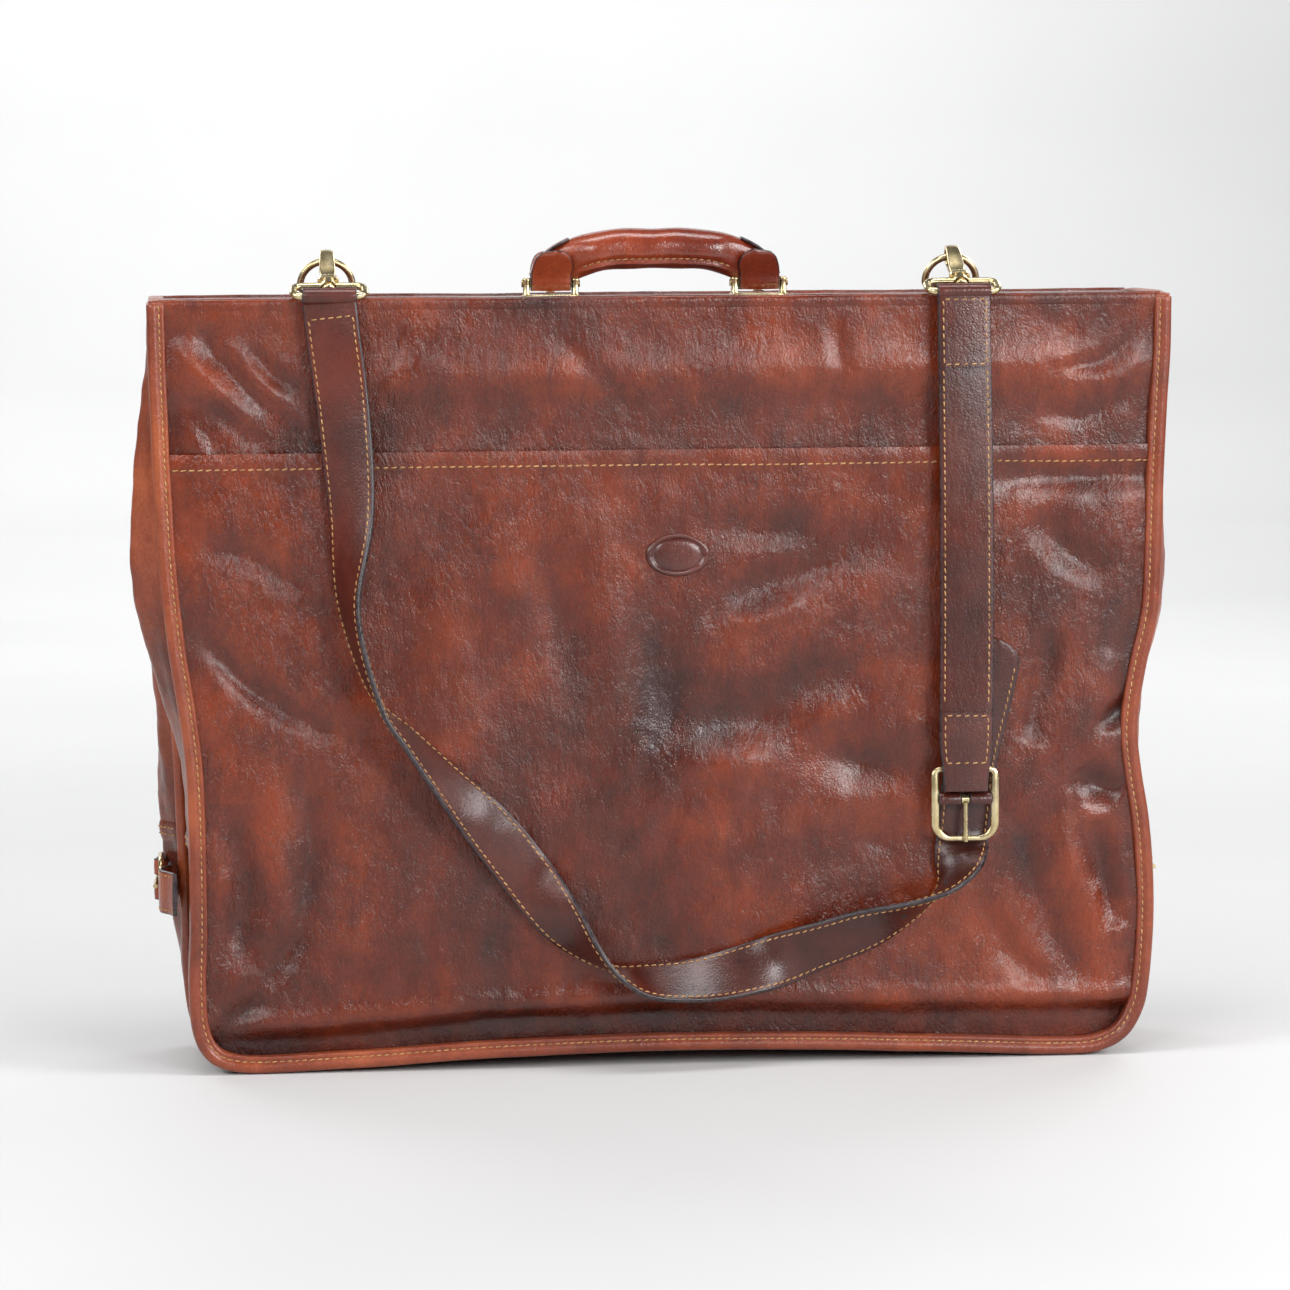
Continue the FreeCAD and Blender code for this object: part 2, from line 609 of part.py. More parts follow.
def strap_short():
    """Short part of the shoulder strap, from the right link to the buckle's bar."""
    y_bar, z_bar = link_bar()
    x_buckle, y_buckle, z_buckle = BUCKLE
    thin = 1.4
    face = y_buckle - 3.3
    top = z_bar - 3.4
    bend = z_buckle + 40
    outline = [(y_bar - thin, top, 0), (face - thin, bend, 0), (face - thin, z_buckle, 0),
               (face + thin, z_buckle, 0), (face + thin, bend, 0), (y_bar + thin, top, 0)]
    flat = prism(outline, -STRAP_W / 2, STRAP_W / 2)
    flat.rotate(V(0, 0, 0), V(0, 0, 1), 90)
    flat.translate(V(x_buckle, 0, 0))
    top_loop = tube_x(x_buckle, y_bar, z_bar, STRAP_W, LOOP_R_IN, LOOP_R_IN + 2.3)
    low_loop = tube_x(x_buckle, y_buckle, z_buckle, STRAP_W, BUCKLE_R + 0.1, 4.9)
    bar = Part.makeCylinder(BUCKLE_R + 0.1, STRAP_W + 2, V(x_buckle - STRAP_W / 2 - 1, y_buckle, z_buckle), V(1, 0, 0))
    slot = box(x_buckle - 2.5, x_buckle + 2.5, y_buckle - 6, y_buckle + 6, z_buckle - 6, z_buckle + 4.4)
    return flat.fuse(top_loop).fuse(low_loop).cut(bar).cut(slot)


def strap():
    """Shoulder strap with its links and buckle."""
    pose = FreeCAD.Placement(V(*BUCKLE), FreeCAD.Rotation())
    nodes = {"strap_long": strap_long(), "strap_short": strap_short()}
    nodes["strap_buckle"] = placed(buckle_frame(STRAP_W + 1, 17.5, 22.8), pose)
    nodes["strap_prong"] = placed(prong(22.8), pose)
    for x, word in zip(HOOK_X, ("left", "right")):
        nodes["strap_link_" + word] = strap_link(x)
        nodes["snap_hook_" + word] = snap_hook(x)
        nodes["snap_gate_" + word] = gate(x)
        nodes["d_ring_" + word] = d_ring(x)
    return nodes


def grip_section(x):
    """Elliptic section of the arched grip at x, level underneath and thinner towards its ends."""
    along = abs(x) / (GRIP_LENGTH / 2)
    top = GRIP_TOP - GRIP_ARCH * along ** 2.6
    half_z = (top - GRIP_BOTTOM) / 2
    half_y = (GRIP_DEPTH / 2) * (1 - 0.75 * along ** 6)
    ellipse = Part.Ellipse(V(0, 0, 0), half_y, half_z)
    wire = Part.Wire(ellipse.toShape())
    wire.rotate(V(0, 0, 0), V(1, 0, 0), 90)
    wire.rotate(V(0, 0, 0), V(0, 0, 1), 90)
    wire.translate(V(x, 0, GRIP_BOTTOM + half_z))
    return wire


def handle():
    """Padded grip with a core, on two leather loops that turn on the bracket pins."""
    end = GRIP_LENGTH / 2
    count = 12
    places = [end * math.sin(math.pi / 2 * i / count) for i in range(-count, count + 1)]
    grip = Part.makeLoft([grip_section(x) for x in places], True, True)
    core = rod(V(-end / 2, 0, GRIP_TOP - 12), V(end / 2, 0, GRIP_TOP - 12), 3)
    nodes = {"handle_grip": grip.cut(core), "handle_core": core}
    for side, word in ((-1, "left"), (1, "right")):
        x = side * BRACKET_X
        loop = tube_x(x, 0, PIN_Z, LOOP_W, PIN_R + 0.08, 4.3)
        neck = box(x - LOOP_W / 2, x + LOOP_W / 2, -4.3, 4.3, PIN_Z, 472)
        clear = Part.makeCylinder(PIN_R + 0.08, 30, V(x - 15, 0, PIN_Z), V(1, 0, 0))
        nodes["handle_loop_" + word] = loop.fuse(neck).cut(clear).cut(grip)
    return nodes


def build():
    nodes = {}
    for group in (front_half(), rear_half(), spine(), strap(), handle()):
        nodes.update(group)
    return nodes


def main():
    os.makedirs("parts", exist_ok=True)
    for name, shape in build().items():
        shape.translate(V(0, GAP_PLANE_Y, 0))
        shape.exportStep("parts/" + name + ".step")
        solids = len(shape.Solids)
        bounds = shape.BoundBox
        print("%-22s %d solid(s) valid=%s volume %.1f cm3 y %.1f..%.1f z %.1f..%.1f" % (
            name, solids, shape.isValid(), shape.Volume / 1000, bounds.YMin, bounds.YMax, bounds.ZMin, bounds.ZMax))
    print("claw", claw_centre(), "swivel", swivel_point(), "bar", link_bar())


main()
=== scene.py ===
"""Leather garment bag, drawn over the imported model: skins, bindings, stitching, straps, handle and brass."""

import json
import math

import bmesh
import bpy
import numpy as np
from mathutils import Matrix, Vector


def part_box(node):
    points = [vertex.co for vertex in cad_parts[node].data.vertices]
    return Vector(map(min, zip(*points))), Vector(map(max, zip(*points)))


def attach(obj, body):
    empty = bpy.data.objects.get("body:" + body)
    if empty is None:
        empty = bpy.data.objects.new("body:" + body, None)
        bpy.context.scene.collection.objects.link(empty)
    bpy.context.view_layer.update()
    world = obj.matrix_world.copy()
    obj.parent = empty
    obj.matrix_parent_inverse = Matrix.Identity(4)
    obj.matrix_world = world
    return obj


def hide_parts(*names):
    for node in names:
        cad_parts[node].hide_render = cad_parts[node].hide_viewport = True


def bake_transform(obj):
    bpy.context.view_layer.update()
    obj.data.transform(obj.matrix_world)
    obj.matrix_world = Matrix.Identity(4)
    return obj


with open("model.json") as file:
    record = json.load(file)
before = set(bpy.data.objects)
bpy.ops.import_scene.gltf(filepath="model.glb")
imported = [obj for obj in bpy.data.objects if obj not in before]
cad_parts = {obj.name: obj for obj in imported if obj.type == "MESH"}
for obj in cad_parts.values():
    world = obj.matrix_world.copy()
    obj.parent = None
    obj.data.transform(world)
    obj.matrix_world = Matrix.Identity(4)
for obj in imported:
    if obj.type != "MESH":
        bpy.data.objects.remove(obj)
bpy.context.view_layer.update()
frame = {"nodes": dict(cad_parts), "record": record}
scene = bpy.context.scene

# ---------------------------------------------------------------- measures
# Shapes are worked out in millimetres, with y counted from the plane midway between the two halves.
MM = 0.001


def box_mm(node):
    """Lowest and highest corner of a CAD node in millimetres."""
    low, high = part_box(node)
    return np.array(low) / MM, np.array(high) / MM


front_low = box_mm("front_binding")[0]
rear_low, rear_high = box_mm("rear_binding")
GAP_Y = (front_low[1] + rear_high[1]) / 2          # the plane between the halves, in the row frame
FACE = rear_high[1] - GAP_Y                        # outer face of the bindings
BACK = rear_low[1] - GAP_Y                         # their inner side
TOP = rear_high[2]                                 # top edge of both halves
BIND_W = 10.0
SEAM_Z = 134.0                                     # lapped seam across the gussets
POCKET_TOP = box_mm("front_pocket")[1][2]
SPINE_HIGH = box_mm("spine_panel")[1]
SPINE_Z = SPINE_HIGH[2]
RING_X = [float(sum(b[0] for b in box_mm("d_ring_" + w)) / 2) for w in ("left", "right")]
EAR_X = [float(sum(b[0] for b in box_mm("handle_bracket_" + w)) / 2) for w in ("left", "right")]
PIN_Z = float(sum(b[2] for b in box_mm("handle_pins")) / 2)
BADGE_LOW, BADGE_HIGH = box_mm("badge")


def row(points):
    """Millimetres from the gap plane to metres in the row frame."""
    p = np.array(points, float)
    return (p + np.array([0.0, GAP_Y, 0.0])) * MM


# ---------------------------------------------------------------- noise and folds
def lattice(x, z, cell, seed):
    """Smooth random value from -1 to 1 at each point, with features of about one cell."""
    rng = np.random.default_rng(seed)
    table = rng.uniform(-1, 1, (64, 64))
    u = np.asarray(x, float) / cell + 1000
    v = np.asarray(z, float) / cell + 1000
    iu = np.floor(u).astype(int)
    iv = np.floor(v).astype(int)
    fu = u - iu
    fv = v - iv
    fu = fu * fu * fu * (fu * (fu * 6 - 15) + 10)
    fv = fv * fv * fv * (fv * (fv * 6 - 15) + 10)
    a = table[iu % 64, iv % 64]
    b = table[(iu + 1) % 64, iv % 64]
    c = table[iu % 64, (iv + 1) % 64]
    d = table[(iu + 1) % 64, (iv + 1) % 64]
    return (a * (1 - fu) + b * fu) * (1 - fv) + (c * (1 - fu) + d * fu) * fv


def rolling(x, z, cell, seed, octaves=3):
    """Several sizes of smooth noise added up."""
    total = 0
    size = 1.0
    for i in range(octaves):
        total = total + size * lattice(x, z, cell / 2 ** i, seed + i)
        size /= 2
    return total


def bell(x, z, cx, cz, rx, rz, turn=0.0):
    """Rounded hill of height 1, turned by some degrees."""
    c = math.cos(math.radians(turn))
    s = math.sin(math.radians(turn))
    u = ((x - cx) * c + (z - cz) * s) / rx
    v = (-(x - cx) * s + (z - cz) * c) / rz
    return np.exp(-(u * u + v * v))


def crease(x, z, points, width, wobble=2.5, seed=3):
    """Valley of depth 1 along a bent line, fading at both ends."""
    x = x + wobble * lattice(x, z, 22, seed)
    z = z + wobble * lattice(x, z, 22, seed + 9)
    best = np.zeros(np.shape(x))
    points = np.array(points, float)
    lengths = np.hypot(*np.diff(points, axis=0).T)
    total = lengths.sum()
    run = 0.0
    for (ax, az), (bx, bz), length in zip(points[:-1], points[1:], lengths):
        t = ((x - ax) * (bx - ax) + (z - az) * (bz - az)) / length ** 2
        t = np.clip(t, 0, 1)
        d = np.hypot(x - ax - t * (bx - ax), z - az - t * (bz - az))
        along = (run + t * length) / total
        fade = np.clip(np.sin(np.pi * np.clip(along, 0, 1)), 0, 1) ** 0.6
        best = np.maximum(best, fade * np.exp(-(d / width) ** 2))
        run += length
    return best


def step(value, low, high):
    """Smooth 0 to 1 between low and high."""
    t = np.clip((np.asarray(value, float) - low) / (high - low), 0, 1)
    return t * t * (3 - 2 * t)


def folded(h, x, z, folds):
    """A height with folds: (amount, width, points) is a crease, (amount, (x, z, half sizes, turn)) a hill."""
    for amount, *shape in folds:
        if len(shape) == 1:
            h = h + amount * bell(x, z, *shape[0])
        else:
            width, points = shape
            h = h + amount * crease(x, z, points, width)
    return h


# ---------------------------------------------------------------- lines and vectors
def distances(line):
    """Distance run along a line up to each of its points."""
    return np.concatenate([[0], np.cumsum(np.linalg.norm(np.diff(line, axis=0), axis=1))])


def read_off(at, reach, values):
    """Rows of values at some distances along a line."""
    return np.stack([np.interp(at, reach, values[:, k]) for k in range(values.shape[1])], axis=1)


def unit(vectors):
    return vectors / np.linalg.norm(vectors, axis=1)[:, None]


def same(vector, count):
    """One vector repeated for a count of points."""
    return np.tile(np.array(vector, float), (count, 1))


def boxy(value, power):
    """Sine or cosine raised to a power with its sign kept: squarer than a circle below 1."""
    return math.copysign(abs(value) ** power, value)


def rounded(left, radius, least=0.05):
    """Share of a strip's width near its round end, by the distance left to the tip."""
    return np.sqrt(np.clip(1 - np.clip(1 - left / radius, 0, 1) ** 2, least, 1))


def catmull_rom(a, b, c, d, t):
    return 0.5 * (2 * b + (c - a) * t + (2 * a - 5 * b + 4 * c - d) * t ** 2 + (3 * b - a - 3 * c + d)
                  * t ** 3)


# ---------------------------------------------------------------- outlines of the two halves
def smooth_path(stations, spacing=2.0, sweeps=2):
    """Evenly spaced points on a rounded line through the stations."""
    p = np.array(stations, float)
    last = len(p) - 1
    out = []
    for i in range(last):
        a = p[max(i - 1, 0)]
        b = p[i]
        c = p[i + 1]
        d = p[min(i + 2, last)]
        for t in np.linspace(0, 1, 24, endpoint=False):
            out.append(catmull_rom(a, b, c, d, t))
    out.append(p[last])
    out = np.array(out)
    for _ in range(sweeps):
        out[1:-1] = (out[:-2] + 2 * out[1:-1] + out[2:]) / 4
    reach = distances(out)
    count = int(reach[-1] / spacing)
    at = np.linspace(0, reach[-1], count + 1)
    return read_off(at, reach, out)


# Outer edge of the front half (x, z), from the top left, round the base, to the top right
FRONT_EDGE = (
    (-295.5, 443), (-295, 415), (-294.5, 387), (-292.5, 329), (-290.5, 290), (-286.5, 250), (-281.5, 215),
    (-277.5, 180), (-276, 140), (-276, 85), (-277, 50), (-275, 24), (-266, 7.5), (-248, 0.8), (-215, 0.6),
    (-160, 3), (-100, 6), (0, 8), (100, 6), (180, 2.6), (225, 0.6), (252, 1.6), (270, 10), (280, 26),
    (284, 45),
    (286, 75), (286, 104), (283.5, 138), (279, 165), (276.5, 188), (278, 209), (282, 232), (287, 253),
    (289.5, 275), (291, 329), (293.5, 387), (295, 415), (295.5, 443),
)
# Outer edge of the rear half
REAR_EDGE = (
    (-295, 443), (-294.5, 415), (-293.5, 387), (-291.5, 329), (-290, 290), (-288, 250), (-286, 210),
    (-284, 170), (-282.5, 130), (-281, 85), (-280, 50), (-276, 22), (-266, 7), (-248, 0.8), (-215, 0.5),
    (-100, 2), (0, 3), (100, 2), (215, 0.5), (248, 0.8), (266, 7), (276, 22), (280, 50), (281, 85),
    (283, 130), (285, 170), (287, 210), (288.5, 250), (290, 290), (291.5, 329), (293.5, 387), (294.5, 415),
    (295, 443),
)


class Edge:
    """Outline of one half with its inward direction at every point."""

    def __init__(self, stations):
        self.points = smooth_path(stations)
        ahead = unit(np.gradient(self.points, axis=0))
        self.inward = np.stack([-ahead[:, 1], ahead[:, 0]], axis=1)
        if self.inward[0, 0] < 0:
            self.inward = -self.inward
        for _ in range(4):
            self.inward[1:-1] = (self.inward[:-2] + 2 * self.inward[1:-1] + self.inward[2:]) / 4
        self.inward = unit(self.inward)
        self.length = distances(self.points)

    def inset(self, distance):
        return self.points + self.inward * np.asarray(distance)[..., None]

    def sides(self, distance, top):
        """Left, base and right boundary of an inset sheet, split at the middle of the corners."""
        line = self.inset(np.full(len(self.points), float(distance)))
        left = int(np.argmin(np.hypot(line[:, 0] + 267, line[:, 1] - 15)))
        right = int(np.argmin(np.hypot(line[:, 0] - 270, line[:, 1] - 17)))
        first = int(np.argmax(line[:, 1] < top))
        after = right + int(np.argmax(line[right:, 1] > top))
        return line[first:left + 1][::-1], line[left:right + 1], line[right:after]


def resample(line, count):
    reach = distances(line)
    at = np.linspace(0, reach[-1], count)
    return read_off(at, reach, line)


def patch(edge, distance, top, columns, rows):
    """Grid of (x, z) filling the outline inset by a distance, up to a height."""
    left, base, right = edge.sides(distance, top)
    left = resample(left, rows)
    right = resample(right, rows)
    base = resample(base, columns)
    left[-1, 1] = top
    right[-1, 1] = top
    u = np.linspace(0, 1, columns)[:, None, None]
    v = np.linspace(0, 1, rows)[None, :, None]
    upper = left[-1] * (1 - u) + right[-1] * u
    ruled = left[None] * (1 - u) + right[None] * u + base[:, None] * (1 - v) + upper * v
    corners = (left[0] * (1 - u) + right[0] * u) * (1 - v) + (left[-1] * (1 - u) + right[-1] * u) * v
    return ruled - corners


front_edge = Edge(FRONT_EDGE)
rear_edge = Edge(REAR_EDGE)


# ---------------------------------------------------------------- mesh builders
def build(name, shape, materials, body, face_materials=None, smooth=True, replaces=()):
    """Closed mesh from (points in millimetres, faces), riding on a body."""
    verts, faces = shape
    mesh = bpy.data.meshes.new(name)
    mesh.from_pydata(row(verts).tolist(), [], [tuple(int(i) for i in f) for f in faces])
    bm = bmesh.new()
    bm.from_mesh(mesh)
    bmesh.ops.recalc_face_normals(bm, faces=bm.faces)
    bm.to_mesh(mesh)
    bm.free()
    for material in materials:
        mesh.materials.append(material)
    if face_materials is not None:
        mesh.polygons.foreach_set("material_index", np.asarray(face_materials, np.int32))
    mesh.polygons.foreach_set("use_smooth", np.full(len(mesh.polygons), smooth))
    mesh.update()
    mesh.set_sharp_from_angle(angle=math.radians(52))
    obj = bpy.data.objects.new(name, mesh)
    scene.collection.objects.link(obj)
    if body:
        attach(obj, body)
    if replaces:
        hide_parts(*replaces)
    return obj


def grid_faces(n, m, start=0, flip=False):
    i, j = np.meshgrid(np.arange(n - 1), np.arange(m - 1), indexing="ij")
    a = (start + i * m + j).ravel()
    quads = np.stack([a, a + 1, a + m + 1, a + m], axis=1)
    return quads[:, ::-1] if flip else quads


def slab(front, back):
    """Vertices and faces of the closed sheet between two grids."""
    n, m = front.shape[:2]
    verts = np.concatenate([front.reshape(-1, 3), back.reshape(-1, 3)])
    off = n * m
    faces = [grid_faces(n, m), grid_faces(n, m, off, True)]
    ring = [i * m for i in range(n)] + [(n - 1) * m + j for j in range(1, m)]
    ring += [i * m + m - 1 for i in range(n - 2, -1, -1)] + [j for j in range(m - 2, 0, -1)]
    ring = np.array(ring)
    after = np.roll(ring, -1)
    faces.append(np.stack([ring, after, after + off, ring + off], axis=1))
    return verts, np.concatenate(faces)


def tube(rings):
    """Vertices and faces of a closed section swept through rings of shape (N, K, 3)."""
    n, k = rings.shape[:2]
    i, j = np.meshgrid(np.arange(n - 1), np.arange(k), indexing="ij")
    a = (i * k + j).ravel()
    b = (i * k + (j + 1) % k).ravel()
    faces = [tuple(f) for f in np.stack([a, b, b + k, a + k], axis=1)]
    verts = rings.reshape(-1, 3)
    middle = np.array([rings[0].mean(axis=0), rings[-1].mean(axis=0)])
    first = n * k
    verts = np.concatenate([verts, middle])
    for q in range(k):
        r = (q + 1) % k
        faces.append((first, r, q))
        faces.append((first + 1, (n - 1) * k + q, (n - 1) * k + r))
    return verts, faces


def joined(parts):
    """Several (verts, faces) as one."""
    verts = []
    faces = []
    start = 0
    for v, f in parts:
        verts.append(v)
        faces.extend(tuple(int(i) + start for i in face) for face in f)
        start += len(v)
    return np.concatenate(verts), faces


def stitches(places, alongs, normals, length=3.1, radius=0.42, slant=0.12, seed=1):
    """Rows of sewn thread: each a small capsule with both ends bent into the leather."""
    places = np.asarray(places, float)
    alongs = np.asarray(alongs, float)
    normals = np.asarray(normals, float)
    rng = np.random.default_rng(seed)
    stops = np.array([-0.5, -0.36, 0.0, 0.36, 0.5])
    lift = np.array([-0.75, 0.22, 0.5, 0.22, -0.75])
    fat = np.array([0.5, 0.95, 1.0, 0.95, 0.5])
    sides = 6
    turns = np.arange(sides) * 2 * np.pi / sides
    across = unit(np.cross(normals, alongs))
    tilt = slant + 0.05 * rng.standard_normal(len(places))
    ahead = alongs * np.cos(tilt)[:, None] + across * np.sin(tilt)[:, None]
    aside = np.cross(normals, ahead)
    size = length * (1 + 0.04 * rng.standard_normal(len(places)))
    rings = []
    for s, up, f in zip(stops, lift, fat):
        centre = places + ahead * (s * size)[:, None] + normals * (up * radius)
        ring = centre[:, None] + radius * f * (
            np.cos(turns)[None, :, None] * aside[:, None] + np.sin(turns)[None, :, None] * normals[:, None])
        rings.append(ring)
    rings = np.stack(rings, axis=1)
    parts = [tube(one) for one in rings]
    return joined(parts)


def row_of_stitches(line, normals, pitch=4.3, **more):
    """Stitches at even steps along a 3D line with a surface normal at each of its points."""
    line = np.asarray(line, float)
    reach = distances(line)
    count = max(int(reach[-1] / pitch), 1)
    at = (np.arange(count) + 0.5) * reach[-1] / count
    places = read_off(at, reach, line)
    ahead = np.gradient(line, axis=0)
    alongs = read_off(at, reach, ahead)
    alongs = unit(alongs)
    norms = read_off(at, reach, np.asarray(normals, float))
    norms -= (norms * alongs).sum(axis=1)[:, None] * alongs
    norms = unit(norms)
    return stitches(places, alongs, norms, **more)


def spline_at(values, count):
    """Evenly counted values on a Catmull-Rom line through the stations."""
    p = np.array(values, float)
    last = len(p) - 1
    out = []
    for q in np.linspace(0, last, count):
        i = min(int(q), last - 1)
        t = q - i
        a, b, c, d = (p[min(max(k, 0), last)] for k in (i - 1, i, i + 1, i + 2))
        out.append(catmull_rom(a, b, c, d, t))
    return np.array(out)


class Band:
    """Flat leather strip along a 3D line, with rounded painted edges."""

    def __init__(self, centres, acrosses, width, thick, crown=0.25):
        self.centres = np.asarray(centres, float)
        acrosses = np.asarray(acrosses, float)
        self.ahead = unit(np.gradient(self.centres, axis=0))
        across = acrosses - (acrosses * self.ahead).sum(axis=1)[:, None] * self.ahead
        self.across = unit(across)
        self.normal = np.cross(self.across, self.ahead)
        self.width = np.broadcast_to(np.asarray(width, float), (len(self.centres),))
        self.thick = np.broadcast_to(np.asarray(thick, float), (len(self.centres),))
        self.crown = crown

    def mesh(self):
        """(verts, faces, face materials): 0 for the two faces, 1 for the edges."""
        flat = np.linspace(-1, 1, 9)
        rings = []
        for c, a, n, w, t in zip(self.centres, self.across, self.normal, self.width, self.thick):
            r = min(0.32 * t, 0.3 * w)
            half = w / 2 - r
            bulge = self.crown * (1 - flat ** 2)
            dip = 0.16 * np.exp(-((np.abs(flat) - 0.80) / 0.07) ** 2)
            top = [(half * f, t / 2 + b - d) for f, b, d in zip(flat, bulge, dip)]
            right = [(half + 0.72 * r, t / 2 - 0.28 * r), (w / 2, 0.12 * t), (w / 2, -0.12 * t),
                     (half + 0.72 * r, -t / 2 + 0.28 * r)]
            low = [(half * f, -t / 2 - b + d) for f, b, d in zip(flat[::-1], bulge, dip)]
            left = [(-x, -y) for x, y in right]
            ring = [c + a * x + n * y for x, y in top + right + low + left]
            rings.append(ring)
        rings = np.array(rings)
        verts, faces = tube(rings)
        k = rings.shape[1]
        n = rings.shape[0]
        kinds = np.zeros(len(faces), int)
        index = np.arange((n - 1) * k) % k
        kinds[:(n - 1) * k] = ((index >= 8) & (index <= 12)) | ((index >= 21) & (index <= 25))
        kinds[(n - 1) * k:] = 1
        return verts, faces, kinds

    def line(self, share, side=1, lift=0.0):
        """Line on one face, at a share of the half width; side 1 is the normal's face."""
        return (self.centres + self.across * (share * self.width / 2)[:, None]
                + self.normal * (side * (self.thick / 2 + lift))[:, None])


def sew(name, rows, body):
    """One piece of thread from several rows of stitches."""
    build(name, joined(rows), [THREAD], body)


def strapwork(name, bands, material, body, replaces=()):
    """One piece of several leather bands with painted edges."""
    made = [band.mesh() for band in bands]
    kinds = np.concatenate([one[2] for one in made])
    build(name, joined([one[:2] for one in made]), [material, EDGE_PAINT], body, kinds,
          replaces=replaces)


# ---------------------------------------------------------------- materials
class Nodes:
    """Short names for building one material."""

    def __init__(self, name):
        self.material = bpy.data.materials.new(name)
        self.material.use_nodes = True
        self.tree = self.material.node_tree
        self.shader = self.tree.nodes["Principled BSDF"]
        self.place = self.tree.nodes.new("ShaderNodeTexCoord").outputs["Object"]

    def node(self, kind, **values):
        made = self.tree.nodes.new(kind)
        for key, value in values.items():
            setattr(made, key, value)
        return made

    def link(self, output, socket):
        self.tree.links.new(output, socket)

    def scaled(self, scale, offset=(0, 0, 0)):
        made = self.node("ShaderNodeMapping")
        made.inputs["Scale"].default_value = scale
        made.inputs["Location"].default_value = offset
        self.link(self.place, made.inputs["Vector"])
        return made.outputs["Vector"]

    def noise(self, vector, scale, detail=4.0, rough=0.55, distortion=0.0):
        made = self.node("ShaderNodeTexNoise")
        made.inputs["Scale"].default_value = scale
        made.inputs["Detail"].default_value = detail
        made.inputs["Roughness"].default_value = rough
        made.inputs["Distortion"].default_value = distortion
        self.link(vector, made.inputs["Vector"])
        return made.outputs["Fac"]

    def cells(self, vector, scale):
        made = self.node("ShaderNodeTexVoronoi", feature="F1")
        made.inputs["Scale"].default_value = scale
        self.link(vector, made.inputs["Vector"])
        return made.outputs["Distance"]

    def math(self, kind, a, b=0.0, c=None):
        made = self.node("ShaderNodeMath", operation=kind)
        for i, value in enumerate((a, b) if c is None else (a, b, c)):
            if isinstance(value, (int, float)):
                made.inputs[i].default_value = value
            else:
                self.link(value, made.inputs[i])
        return made.outputs[0]

    def span(self, value, low, high, to_low=0.0, to_high=1.0):
        made = self.node("ShaderNodeMapRange", clamp=True, interpolation_type="SMOOTHSTEP")
        for i, number in enumerate((low, high, to_low, to_high)):
            made.inputs[i + 1].default_value = number
        self.link(value, made.inputs[0])
        return made.outputs[0]

    def ramp(self, value, stops):
        made = self.node("ShaderNodeValToRGB")
        while len(made.color_ramp.elements) < len(stops):
            made.color_ramp.elements.new(0.5)
        for element, (place, colour) in zip(made.color_ramp.elements, stops):
            element.position = place
            element.color = (*colour, 1.0)
        self.link(value, made.inputs["Fac"])
        return made.outputs["Color"]

    def mix(self, factor, a, b, kind="MIX"):
        made = self.node("ShaderNodeMix", data_type="RGBA", blend_type=kind)
        if isinstance(factor, (int, float)):
            made.inputs[0].default_value = factor
        else:
            self.link(factor, made.inputs[0])
        for i, value in ((6, a), (7, b)):
            if isinstance(value, tuple):
                made.inputs[i].default_value = (*value, 1.0)
            else:
                self.link(value, made.inputs[i])
        return made.outputs[2]

    def bump(self, height, distance, strength=1.0, under=None):
        made = self.node("ShaderNodeBump")
        made.inputs["Strength"].default_value = strength
        made.inputs["Distance"].default_value = distance
        self.link(height, made.inputs["Height"])
        if under is not None:
            self.link(under, made.inputs["Normal"])
        return made.outputs["Normal"]

    def set(self, **values):
        for key, value in values.items():
            socket = self.shader.inputs[key.replace("_", " ")]
            if hasattr(value, "is_linked") or hasattr(value, "links"):
                self.link(value, socket)
            else:
                socket.default_value = value


def srgb(r, g, b):
    """Colour given as it looks on screen, 0 to 255."""
    out = []
    for value in (r, g, b):
        v = value / 255
        out.append(v / 12.92 if v <= 0.04045 else ((v + 0.055) / 1.055) ** 2.4)
    return tuple(out)


